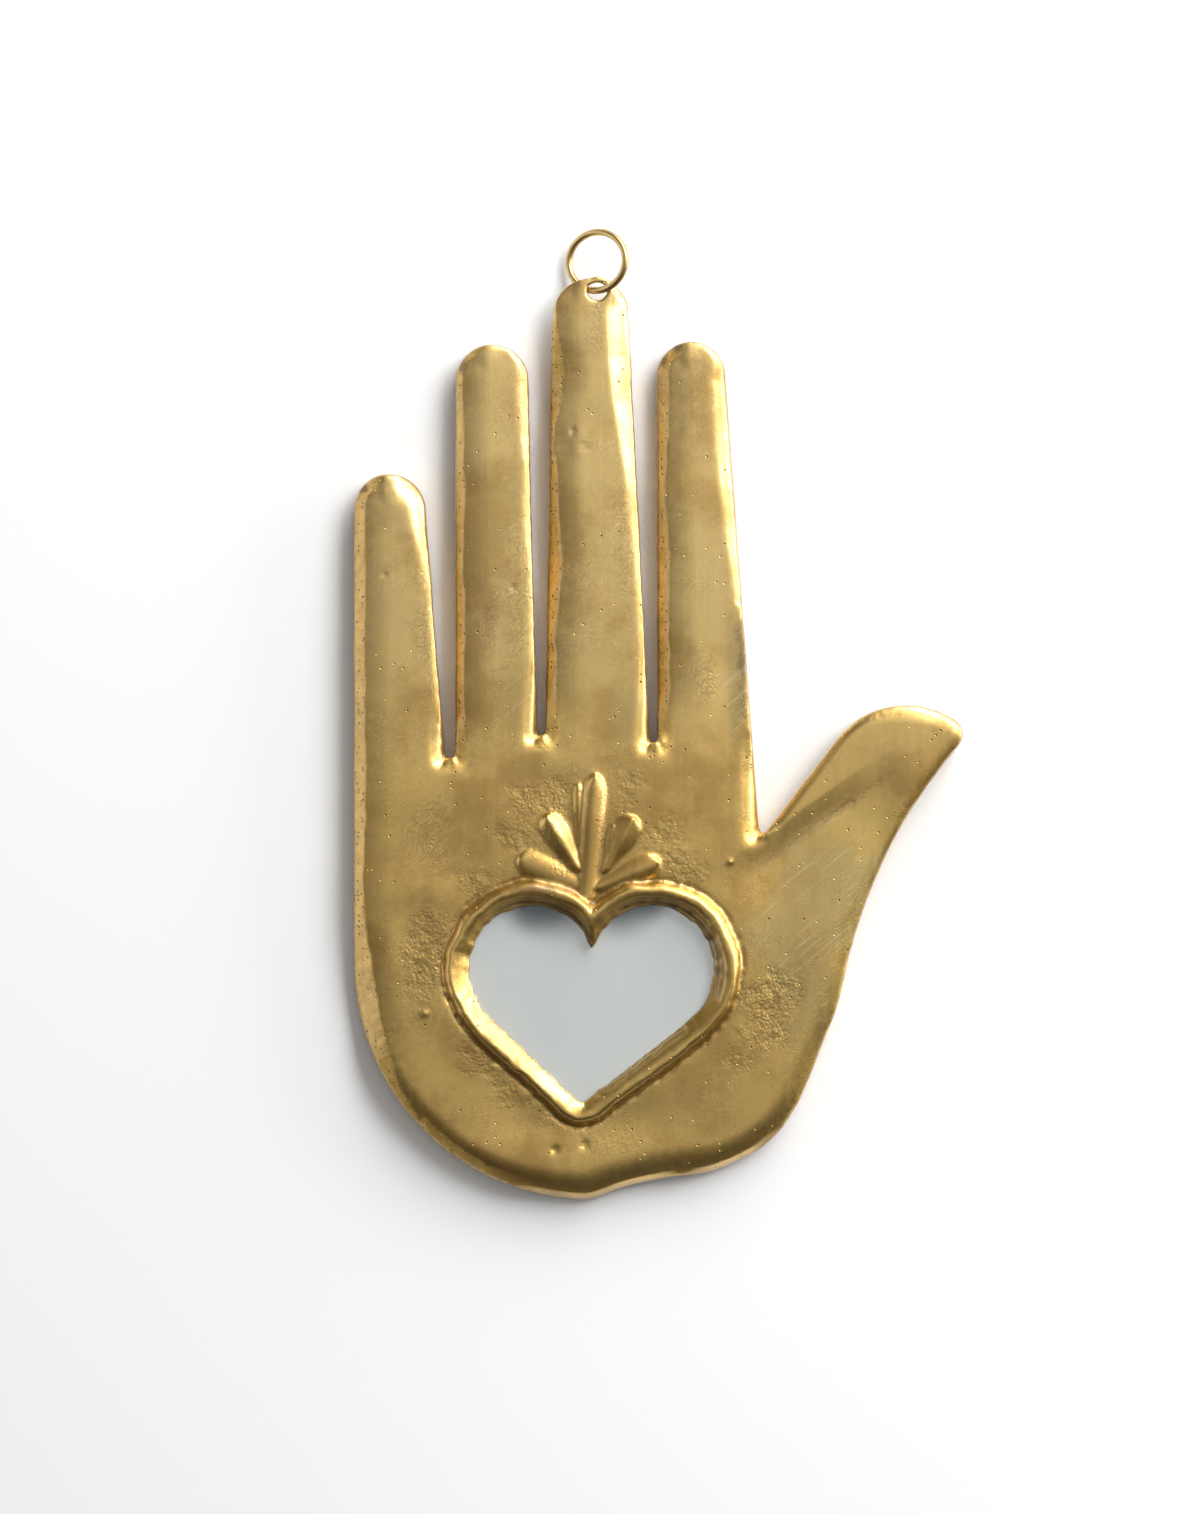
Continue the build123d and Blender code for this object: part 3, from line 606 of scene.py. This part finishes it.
place = np.stack((x, -depth, z), axis=1)
sunken = ((round_about(place) - place) * normals).sum(1)
for spread in range(HOLLOW_SPREADS):
    sunken = 0.5 * sunken + 0.5 * round_about(sunken)
# Painted shade under the rim: where the inside of the rim looks down, striped along the tool ridges
painted_shade_under_rim = looks_down(heart_way) * smooth(3.4, 1.5, off_heart)
painted_shade_under_rim = painted_shade_under_rim * (0.7 + 0.25 * uneven(x, z, 2.0, 20) - 0.25 * tool_ridges(off_heart, x, z))
# Painted shade along the edges: a thin dark line round the palm side
painted_edge_shade = smooth(0.75, 0.25, inset) * smooth(-0.1, -0.4, normals[:, 1])
grime_and_painted_shade = smooth(HOLLOW_FROM, HOLLOW_FULL, sunken)
for darkening in (smooth(0.5, 0.0, off_heart) * smooth(9.0, 8.0, depth), painted_shade_under_rim,
              0.5 * in_valley * (0.8 + 0.3 * uneven(x, z, 3.0, 21)),
              patchy(x, z, SMUDGES_AND_PAINTED_SHADE) * palm_side,
              painted_edge_shade * (0.45 + 0.2 * uneven(x, z, 4.0, 22))):
    grime_and_painted_shade = np.maximum(grime_and_painted_shade, darkening)
grime_and_painted_shade *= smooth(0.25, -0.1, normals[:, 1])
painted = {"cast_skin": cast_skin, "rough_ground": rough, "hatched": hatched, "grime_and_painted_shade": grime_and_painted_shade,
           "greened": greened, "inside": inside}
for name, values in painted.items():
    layer = cast_hand.data.attributes.new(name, "FLOAT", "POINT")
    layer.data.foreach_set("value", values.astype(np.float32))


def linear(code):
    """An sRGB hex colour as linear RGBA."""
    parts = [int(code[i:i + 2], 16) / 255.0 for i in (1, 3, 5)]
    return [p / 12.92 if p <= 0.04045 else ((p + 0.055) / 1.055) ** 2.4 for p in parts] + [1.0]


def add(tree, kind, sockets, **settings):
    """A node with its settings, and its sockets set to a value or linked to another node's output."""
    made = tree.nodes.new(kind)
    for name, value in settings.items():
        setattr(made, name, value)
    for name, value in sockets.items():
        if isinstance(value, bpy.types.NodeSocket):
            tree.links.new(value, made.inputs[name])
        else:
            made.inputs[name].default_value = value
    return made


def fresh_material(name):
    """An empty material and its node tree."""
    material = bpy.data.materials.new(name)
    material.use_nodes = True
    material.node_tree.nodes.clear()
    return material, material.node_tree


def dress(piece, material):
    """Gives a piece its one material."""
    piece.data.materials.clear()
    piece.data.materials.append(material)


# Sand-cast yellow brass, linished and buffed under a thin clear lacquer: a warm satin gloss with buffing
# streaks along the fingers, hatched scratches, faint tarnish and greened places, next to golden cast
# skin with pin holes. Scratches and pin holes are drawn about twice as coarse as real ones, to show.
buffed_brass, tree = fresh_material("sand_cast_buffed_brass")
here = add(tree, "ShaderNodeTexCoord", {}).outputs["Object"]
skin, rough, hatched, dirt_and_painted_shade, green, inside = (
    add(tree, "ShaderNodeAttribute", {}, attribute_name=name).outputs["Fac"] for name in painted)

# The numbers of a Mix node's two inputs and its output, for colours and for plain values
TINT_A, TINT_B, TINT = 6, 7, 2
PART_A, PART_B, PART = 2, 3, 0

# Tone: faint tarnish in patches of 22 mm, and paler fingers, which are handled most
tarnish = add(tree, "ShaderNodeTexNoise", {
    "Vector": here, "Scale": 1.0 / (22.0 * MM), "Detail": 5.0, "Roughness": 0.62}).outputs["Fac"]
tarnish = add(tree, "ShaderNodeMapRange", {
    "Value": tarnish, "From Min": 0.40, "From Max": 0.62}, interpolation_type="SMOOTHSTEP").outputs["Result"]
height = add(tree, "ShaderNodeSeparateXYZ", {"Vector": here}).outputs["Z"]
handled = add(tree, "ShaderNodeMapRange", {
    "Value": height, "From Min": -150.0 * MM, "From Max": -85.0 * MM},
    interpolation_type="SMOOTHSTEP").outputs["Result"]
bright, dulled = (
    add(tree, "ShaderNodeMix", {"Factor": handled, TINT_A: linear(palm), TINT_B: linear(fingers)},
        data_type="RGBA").outputs[TINT]
    for palm, fingers in (("#E2BB66", "#EAC87E"), ("#BA9449", "#C29E58")))
face = add(tree, "ShaderNodeMix", {
    "Factor": tarnish, TINT_A: bright, TINT_B: dulled}, data_type="RGBA").outputs[TINT]
face = add(tree, "ShaderNodeMix", {
    "Factor": green, TINT_A: face, TINT_B: linear("#D0B976")}, data_type="RGBA").outputs[TINT]

# Buffing streaks, 1.2 mm wide and 28 mm long, run along the fingers
streak = add(tree, "ShaderNodeMapping", {
    "Vector": here, "Scale": (1.0 / (1.2 * MM), 1.0 / (1.2 * MM), 1.0 / (28.0 * MM))}).outputs["Vector"]
streak = add(tree, "ShaderNodeTexNoise", {"Vector": streak, "Scale": 1.0, "Detail": 3.0}).outputs["Fac"]

# Short curved scratches, 0.38 mm wide and 2.4 mm long, all over and thickest in the hatched patches
stir = add(tree, "ShaderNodeTexNoise", {"Vector": here, "Scale": 1.0 / (5.0 * MM), "Detail": 1.0})
hair = add(tree, "ShaderNodeVectorMath", {
    0: stir.outputs["Color"], 1: (5.0 * MM, 5.0 * MM, 5.0 * MM), 2: here}, operation="MULTIPLY_ADD")
hair = add(tree, "ShaderNodeMapping", {
    "Vector": hair.outputs["Vector"], "Rotation": (0.0, radians(48.0), 0.0),
    "Scale": (0.38 * MM, 0.38 * MM, 2.4 * MM)}, vector_type="TEXTURE").outputs["Vector"]
hair = add(tree, "ShaderNodeTexNoise", {"Vector": hair, "Scale": 1.0, "Detail": 2.0}).outputs["Fac"]
hair = add(tree, "ShaderNodeMapRange", {
    "Value": hair, "From Min": 0.32, "From Max": 0.62}).outputs["Result"]
patch = add(tree, "ShaderNodeTexNoise", {
    "Vector": here, "Scale": 1.0 / (12.0 * MM), "Detail": 2.0}).outputs["Fac"]
patch = add(tree, "ShaderNodeMapRange", {
    "Value": patch, "From Min": 0.42, "From Max": 0.70, "To Min": 0.20, "To Max": 0.62}).outputs["Result"]
scored = add(tree, "ShaderNodeMath", {0: patch, 1: hatched}, operation="MAXIMUM").outputs["Value"]
cuts = add(tree, "ShaderNodeMath", {0: hair, 1: scored}, operation="MULTIPLY").outputs["Value"]

# Long straight scratches across the thumb, 0.5 mm wide and 30 mm long: real wear, painted paler than bare
# brass as a glint along them
scratch_glint = add(tree, "ShaderNodeMapping", {
    "Vector": here, "Rotation": (0.0, radians(-40.0), 0.0),
    "Scale": (30.0 * MM, 0.5 * MM, 0.5 * MM)}, vector_type="TEXTURE").outputs["Vector"]
scratch_glint = add(tree, "ShaderNodeTexNoise", {"Vector": scratch_glint, "Scale": 1.0, "Detail": 0.0}).outputs["Fac"]
scratch_glint = add(tree, "ShaderNodeMapRange", {
    "Value": scratch_glint, "From Min": 0.70, "From Max": 0.76, "To Min": 0.0, "To Max": 0.7}).outputs["Result"]
scratch_glint = add(tree, "ShaderNodeMath", {0: scratch_glint, 1: green}, operation="MULTIPLY").outputs["Value"]

# Pin holes in cells of 1.1 mm, thick on the cast skin and few on the buffed faces and inside the back
pores = add(tree, "ShaderNodeTexVoronoi", {"Vector": here, "Scale": 1.0 / (1.1 * MM)})
pore = add(tree, "ShaderNodeMapRange", {
    "Value": pores.outputs["Distance"], "From Min": 0.12, "From Max": 0.30, "To Min": 1.0,
    "To Max": 0.0}).outputs["Result"]
chance = add(tree, "ShaderNodeSeparateColor", {"Color": pores.outputs["Color"]}).outputs["Red"]
pitted = add(tree, "ShaderNodeMath", {
    0: inside, 1: -0.75, 2: skin}, operation="MULTIPLY_ADD").outputs["Value"]
share = add(tree, "ShaderNodeMapRange", {
    "Value": pitted, "To Min": 0.965, "To Max": 0.50}).outputs["Result"]
open_pore = add(tree, "ShaderNodeMath", {0: chance, 1: share}, operation="GREATER_THAN").outputs["Value"]
pit = add(tree, "ShaderNodeMath", {0: pore, 1: open_pore}, operation="MULTIPLY").outputs["Value"]

# Sand grain of 0.8 mm on the cast skin and the rough ground
sand = add(tree, "ShaderNodeTexNoise", {
    "Vector": here, "Scale": 1.0 / (0.8 * MM), "Detail": 2.0}).outputs["Fac"]
sand = add(tree, "ShaderNodeMath", {0: sand, 1: 0.5}, operation="SUBTRACT").outputs["Value"]
sandy = add(tree, "ShaderNodeMath", {0: skin, 1: 0.4}, operation="MULTIPLY").outputs["Value"]
sandy = add(tree, "ShaderNodeMath", {0: sandy, 1: rough}, operation="MAXIMUM").outputs["Value"]
grains = add(tree, "ShaderNodeMath", {0: sand, 1: sandy}, operation="MULTIPLY").outputs["Value"]

# The cast skin is blotched every 2.5 mm, and inside the hollow back it is raw and browner
blotch = add(tree, "ShaderNodeTexNoise", {
    "Vector": here, "Scale": 1.0 / (2.5 * MM), "Detail": 4.0}).outputs["Fac"]
raw = add(tree, "ShaderNodeTexNoise", {
    "Vector": here, "Scale": 1.0 / (6.0 * MM), "Detail": 8.0, "Roughness": 0.6}).outputs["Fac"]
blotch, raw = (
    add(tree, "ShaderNodeMapRange", {"Value": cloudy, "From Min": 0.35, "From Max": 0.65}).outputs["Result"]
    for cloudy in (blotch, raw))
crust, raw = (
    add(tree, "ShaderNodeMix", {"Factor": amount, TINT_A: linear(pale), TINT_B: linear(deep)},
        data_type="RGBA").outputs[TINT]
    for amount, pale, deep in ((blotch, "#E8C26C", "#D4AC5A"), (raw, "#BC9858", "#A17E48")))
crust = add(tree, "ShaderNodeMix", {
    "Factor": inside, TINT_A: crust, TINT_B: raw}, data_type="RGBA").outputs[TINT]
colour = add(tree, "ShaderNodeMix", {
    "Factor": skin, TINT_A: face, TINT_B: crust}, data_type="RGBA").outputs[TINT]

# Over that lie dark specks in the rough ground, the scratches, grime and painted shade in one dark brown, and
# pin holes
speck = add(tree, "ShaderNodeMapRange", {
    "Value": sand, "From Min": -0.12, "From Max": 0.08, "To Min": 0.32, "To Max": 0.0}).outputs["Result"]
speck = add(tree, "ShaderNodeMath", {0: speck, 1: rough}, operation="MULTIPLY").outputs["Value"]
shade = add(tree, "ShaderNodeMath", {0: cuts, 1: 0.55}, operation="MULTIPLY").outputs["Value"]
for amount, tint in ((speck, "#8A6A38"), (shade, "#8F7242"), (scratch_glint, "#F3E3B4"), (dirt_and_painted_shade, "#5E4420"),
                     (pit, "#6B4C26")):
    colour = add(tree, "ShaderNodeMix", {
        "Factor": amount, TINT_A: colour, TINT_B: linear(tint)}, data_type="RGBA").outputs[TINT]

# Gloss: satin where buffed, duller with tarnish, streaks and scratches, matt on cast skin and where grime and
# painted shade lie
matt = add(tree, "ShaderNodeMapRange", {
    "Value": tarnish, "To Min": 0.22, "To Max": 0.32}).outputs["Result"]
for wear, more in ((streak, 0.16), (scored, 0.12)):
    matt = add(tree, "ShaderNodeMath", {0: wear, 1: more, 2: matt}, operation="MULTIPLY_ADD").outputs["Value"]
for cover, dullness in ((skin, 0.55), (dirt_and_painted_shade, 0.6)):
    matt = add(tree, "ShaderNodeMix", {
        "Factor": cover, PART_A: matt, PART_B: dullness}, data_type="FLOAT").outputs[PART]
# The metal gives way to a dull brown where grime and painted shade lie
bare = add(tree, "ShaderNodeMapRange", {"Value": dirt_and_painted_shade, "To Min": 1.0, "To Max": 0.25}).outputs["Result"]

# Relief, as (pattern, strength, depth in mm, cut in)
normal = add(tree, "ShaderNodeBump", {
    "Height": streak, "Strength": 0.45, "Distance": 0.05 * MM}).outputs["Normal"]
for pattern, strength, deep, cut_in in ((cuts, 1.0, 0.035, True), (grains, 1.0, 0.22, False),
                                        (pit, 1.0, 0.2, True)):
    normal = add(tree, "ShaderNodeBump", {
        "Height": pattern, "Strength": strength, "Distance": deep * MM, "Normal": normal},
        invert=cut_in).outputs["Normal"]
shader = add(tree, "ShaderNodeBsdfPrincipled", {
    "Base Color": colour, "Metallic": bare, "Roughness": matt, "Normal": normal,
    "Coat Weight": 1.0, "Coat Roughness": 0.22})
add(tree, "ShaderNodeOutputMaterial", {"Surface": shader.outputs["BSDF"]})
dress(cast_hand, buffed_brass)
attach(cast_hand, "hand")
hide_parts("hand_casting")

# The mirror: a heart-shaped pane of silvered float glass, cut a little larger than the opening and laid
# on the seat behind the rim. Its polished face shows the room, a touch green from the glass.
# Under the top of the rim its face is darkened with painted shade, at (x, z, reach).
PAINTED_RIM_SHADE = (-11.0, -167.5, 12.5), (-17.0, -168.0, 10.0), (6.0, -167.5, 12.0), (13.0, -166.0, 9.0)
MIRROR_FACE = 6.15
silvered, tree = fresh_material("silvered_float_glass")
here = add(tree, "ShaderNodeTexCoord", {}).outputs["Object"]
haze = add(tree, "ShaderNodeTexNoise", {
    "Vector": here, "Scale": 1.0 / (18.0 * MM), "Detail": 3.0}).outputs["Fac"]
film = add(tree, "ShaderNodeMapRange", {"Value": haze, "To Min": 0.14, "To Max": 0.20}).outputs["Result"]
tone = add(tree, "ShaderNodeMix", {
    "Factor": haze, TINT_A: linear("#DDE1DE"), TINT_B: linear("#D5DAD7")}, data_type="RGBA").outputs[TINT]
# Painted shade: the tone turns dark grey near each point and fades out over its reach
for shade_x, shade_z, reach in PAINTED_RIM_SHADE:
    rim_shade = add(tree, "ShaderNodeVectorMath", {
        0: here, 1: (shade_x * MM, -MIRROR_FACE * MM, shade_z * MM)}, operation="DISTANCE").outputs["Value"]
    rim_shade = add(tree, "ShaderNodeMapRange", {
        "Value": rim_shade, "From Min": 0.0, "From Max": reach * MM, "To Min": 0.85, "To Max": 0.0},
        interpolation_type="SMOOTHERSTEP").outputs["Result"]
    tone = add(tree, "ShaderNodeMix", {
        "Factor": rim_shade, TINT_A: tone, TINT_B: linear("#5E6468")}, data_type="RGBA").outputs[TINT]
shader = add(tree, "ShaderNodeBsdfPrincipled", {"Base Color": tone, "Metallic": 0.6, "Roughness": film})
add(tree, "ShaderNodeOutputMaterial", {"Surface": shader.outputs["BSDF"]})
dress(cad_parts["mirror_glass"], silvered)

# The backing card: a piece of grey pulp board, cut to the pane and laid behind it to take up the slack.
# Its felted fibres show as a fine grey mottle.
pulp_board, tree = fresh_material("grey_pulp_board")
here = add(tree, "ShaderNodeTexCoord", {}).outputs["Object"]
fibre = add(tree, "ShaderNodeTexNoise", {
    "Vector": here, "Scale": 1.0 / (0.8 * MM), "Detail": 6.0}).outputs["Fac"]
tone = add(tree, "ShaderNodeMix", {
    "Factor": fibre, TINT_A: linear("#8D8980"), TINT_B: linear("#A8A499")}, data_type="RGBA").outputs[TINT]
normal = add(tree, "ShaderNodeBump", {
    "Height": fibre, "Strength": 0.3, "Distance": 0.1 * MM}).outputs["Normal"]
shader = add(tree, "ShaderNodeBsdfPrincipled", {"Base Color": tone, "Roughness": 0.9, "Normal": normal})
add(tree, "ShaderNodeOutputMaterial", {"Surface": shader.outputs["BSDF"]})
dress(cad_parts["backing_card"], pulp_board)

# The back plate: a heart of thin mild steel, sheared to shape and painted satin black, which clamps the
# card and the pane against the seat. The paint has a slight orange peel and a few scuffs.
black_paint, tree = fresh_material("satin_black_painted_steel")
here = add(tree, "ShaderNodeTexCoord", {}).outputs["Object"]
peel = add(tree, "ShaderNodeTexNoise", {
    "Vector": here, "Scale": 1.0 / (1.2 * MM), "Detail": 2.0}).outputs["Fac"]
scuff = add(tree, "ShaderNodeTexNoise", {
    "Vector": here, "Scale": 1.0 / (14.0 * MM), "Detail": 5.0}).outputs["Fac"]
tone = add(tree, "ShaderNodeMix", {
    "Factor": scuff, TINT_A: linear("#1B1B1D"), TINT_B: linear("#2C2C2E")}, data_type="RGBA").outputs[TINT]
gloss = add(tree, "ShaderNodeMapRange", {"Value": scuff, "To Min": 0.32, "To Max": 0.52}).outputs["Result"]
normal = add(tree, "ShaderNodeBump", {
    "Height": peel, "Strength": 0.2, "Distance": 0.05 * MM}).outputs["Normal"]
shader = add(tree, "ShaderNodeBsdfPrincipled", {"Base Color": tone, "Roughness": gloss, "Normal": normal})
add(tree, "ShaderNodeOutputMaterial", {"Surface": shader.outputs["BSDF"]})
dress(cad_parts["back_plate"], black_paint)

# The back plate screws: four small pan-head steel screws, zinc plated, driven into the cast bosses.
# The plating is bright, and cloudy in places.
zinc, tree = fresh_material("bright_zinc_plated_steel")
here = add(tree, "ShaderNodeTexCoord", {}).outputs["Object"]
plating = add(tree, "ShaderNodeTexNoise", {
    "Vector": here, "Scale": 1.0 / (1.5 * MM), "Detail": 4.0}).outputs["Fac"]
tone = add(tree, "ShaderNodeMix", {
    "Factor": plating, TINT_A: linear("#B9BEC4"), TINT_B: linear("#DADDE0")}, data_type="RGBA").outputs[TINT]
gloss = add(tree, "ShaderNodeMapRange", {"Value": plating, "To Min": 0.25, "To Max": 0.45}).outputs["Result"]
shader = add(tree, "ShaderNodeBsdfPrincipled", {"Base Color": tone, "Metallic": 1.0, "Roughness": gloss})
add(tree, "ShaderNodeOutputMaterial", {"Surface": shader.outputs["BSDF"]})
dress(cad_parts["back_plate_screws"], zinc)

# The hanging ring: drawn brass wire, bent round a mandrel through the fingertip hole and closed with its
# ends butted. It is paler and duller than the hand, because it was never buffed.
drawn_wire, tree = fresh_material("drawn_brass_wire")
here = add(tree, "ShaderNodeTexCoord", {}).outputs["Object"]
dull = add(tree, "ShaderNodeTexNoise", {
    "Vector": here, "Scale": 1.0 / (3.0 * MM), "Detail": 4.0}).outputs["Fac"]
tone = add(tree, "ShaderNodeMix", {
    "Factor": dull, TINT_A: linear("#D9BE88"), TINT_B: linear("#BFA065")}, data_type="RGBA").outputs[TINT]
gloss = add(tree, "ShaderNodeMapRange", {"Value": dull, "To Min": 0.28, "To Max": 0.42}).outputs["Result"]
shader = add(tree, "ShaderNodeBsdfPrincipled", {"Base Color": tone, "Metallic": 1.0, "Roughness": gloss})
add(tree, "ShaderNodeOutputMaterial", {"Surface": shader.outputs["BSDF"]})
dress(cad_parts["hanging_ring"], drawn_wire)

# The wall: the white board that the ornament hangs against. It is only there from the front, so that
# the back of the ornament can be looked at and gets light.
WALL_BEHIND = 1.2
WALL_SIDE = 4.0
WALL_MIDDLE = -0.12
bm = bmesh.new()
bmesh.ops.create_grid(bm, x_segments=1, y_segments=1, size=WALL_SIDE / 2)
bmesh.ops.rotate(bm, verts=bm.verts, matrix=Matrix.Rotation(radians(90.0), 3, "X"))
bmesh.ops.translate(bm, verts=bm.verts, vec=(0.0, WALL_BEHIND * MM, WALL_MIDDLE))
wall = bpy.data.objects.new("wall_board", bpy.data.meshes.new("wall_board"))
bm.to_mesh(wall.data)
bm.free()
bpy.context.scene.collection.objects.link(wall)
white_board, tree = fresh_material("matt_white_board")
passed = add(tree, "ShaderNodeLightPath", {}).outputs["Transparent Depth"]
behind = add(tree, "ShaderNodeNewGeometry", {}).outputs["Backfacing"]
through = add(tree, "ShaderNodeMath", {0: passed, 1: behind}, operation="ADD", use_clamp=True)
matt_white = add(tree, "ShaderNodeBsdfDiffuse", {"Color": linear("#F7F7F7")})
clear = add(tree, "ShaderNodeBsdfTransparent", {})
surface = add(tree, "ShaderNodeMixShader", {
    0: through.outputs["Value"], 1: matt_white.outputs["BSDF"], 2: clear.outputs["BSDF"]})
add(tree, "ShaderNodeOutputMaterial", {"Surface": surface.outputs["Shader"]})
dress(wall, white_board)

# The studio: white behind, and in front a grey room with a dim ceiling, which darkens to the left and
# towards the floor and has a pale screen far out to the left. A large softbox to the right and above
# draws the long highlights, and a strip lights the right edges.
# The room's light by direction, as (axis, from, to, level at the first, level at the second)
ROOM = (
    ("Z", -0.65, 0.25, 0.08, 0.84), ("X", -0.5, 0.15, 0.42, 1.05), ("X", 0.08, 0.4, 1.0, 0.62),
    ("Z", 0.3, 0.75, 1.0, 0.3),
)
SCREEN = ("X", -0.95, -0.8, 1.2, 0.0)
WHITE_BEHIND = ("Y", -0.15, 0.2, 0.0, 1.0)
world = bpy.data.worlds.new("studio")
world.use_nodes = True
bpy.context.scene.world = world
tree = world.node_tree
tree.nodes.clear()
heading = add(tree, "ShaderNodeTexCoord", {}).outputs["Generated"]
heading = add(tree, "ShaderNodeSeparateXYZ", {"Vector": heading})
*room_levels, screen, back = (
    add(tree, "ShaderNodeMapRange", {
        "Value": heading.outputs[axis], "From Min": start, "From Max": end, "To Min": first, "To Max": last},
        interpolation_type="SMOOTHSTEP").outputs["Result"]
    for axis, start, end, first, last in (*ROOM, SCREEN, WHITE_BEHIND))
room = room_levels[0]
for level in room_levels[1:]:
    room = add(tree, "ShaderNodeMath", {0: room, 1: level}, operation="MULTIPLY").outputs["Value"]
room = add(tree, "ShaderNodeMath", {0: room, 1: screen}, operation="ADD").outputs["Value"]
level = add(tree, "ShaderNodeMix", {
    "Factor": back, PART_A: room, PART_B: 1.0}, data_type="FLOAT").outputs[PART]
background = add(tree, "ShaderNodeBackground", {"Color": linear("#FFFFFF"), "Strength": level})
add(tree, "ShaderNodeOutputWorld", {"Surface": background.outputs["Background"]})

# Each lamp, as (name, place, width, height, power)
LAMPS = (
    ("softbox", (0.67, -0.84, 0.91), 0.75, 1.85, 36.0),
    ("edge_strip", (1.25, -0.25, 0.25), 0.45, 1.2, 12.0),
)
LIT_POINT = Vector((0.0, 0.0, -0.13))
for name, place, wide, tall, power in LAMPS:
    lamp = bpy.data.objects.new(name, bpy.data.lights.new(name, "AREA"))
    lamp.data.shape = "RECTANGLE"
    lamp.data.size = wide
    lamp.data.size_y = tall
    lamp.data.energy = power
    lamp.location = place
    lamp.rotation_euler = (LIT_POINT - lamp.location).to_track_quat("-Z", "Y").to_euler()
    bpy.context.scene.collection.objects.link(lamp)

# The camera: square on to the wall, at the height of the middle of the palm side. Its frame is 300 mm
# wide where the palm side lies, 7 mm out from the wall.
CAMERA_AWAY = 1.5
FRAME_WIDE = 0.300
FRAME_MIDDLE = (0.75, -130.4)
FRAME_DEPTH = 7.0
SENSOR_WIDE = 36.0
camera = bpy.data.objects.new("camera", bpy.data.cameras.new("camera"))
camera.data.sensor_fit = "HORIZONTAL"
camera.data.sensor_width = SENSOR_WIDE
camera.data.lens = SENSOR_WIDE * CAMERA_AWAY / FRAME_WIDE
camera.location = (FRAME_MIDDLE[0] * MM, -FRAME_DEPTH * MM - CAMERA_AWAY, FRAME_MIDDLE[1] * MM)
camera.rotation_euler = (radians(90.0), 0.0, 0.0)
bpy.context.scene.collection.objects.link(camera)
bpy.context.scene.camera = camera
bpy.context.scene.view_settings.view_transform = "Standard"
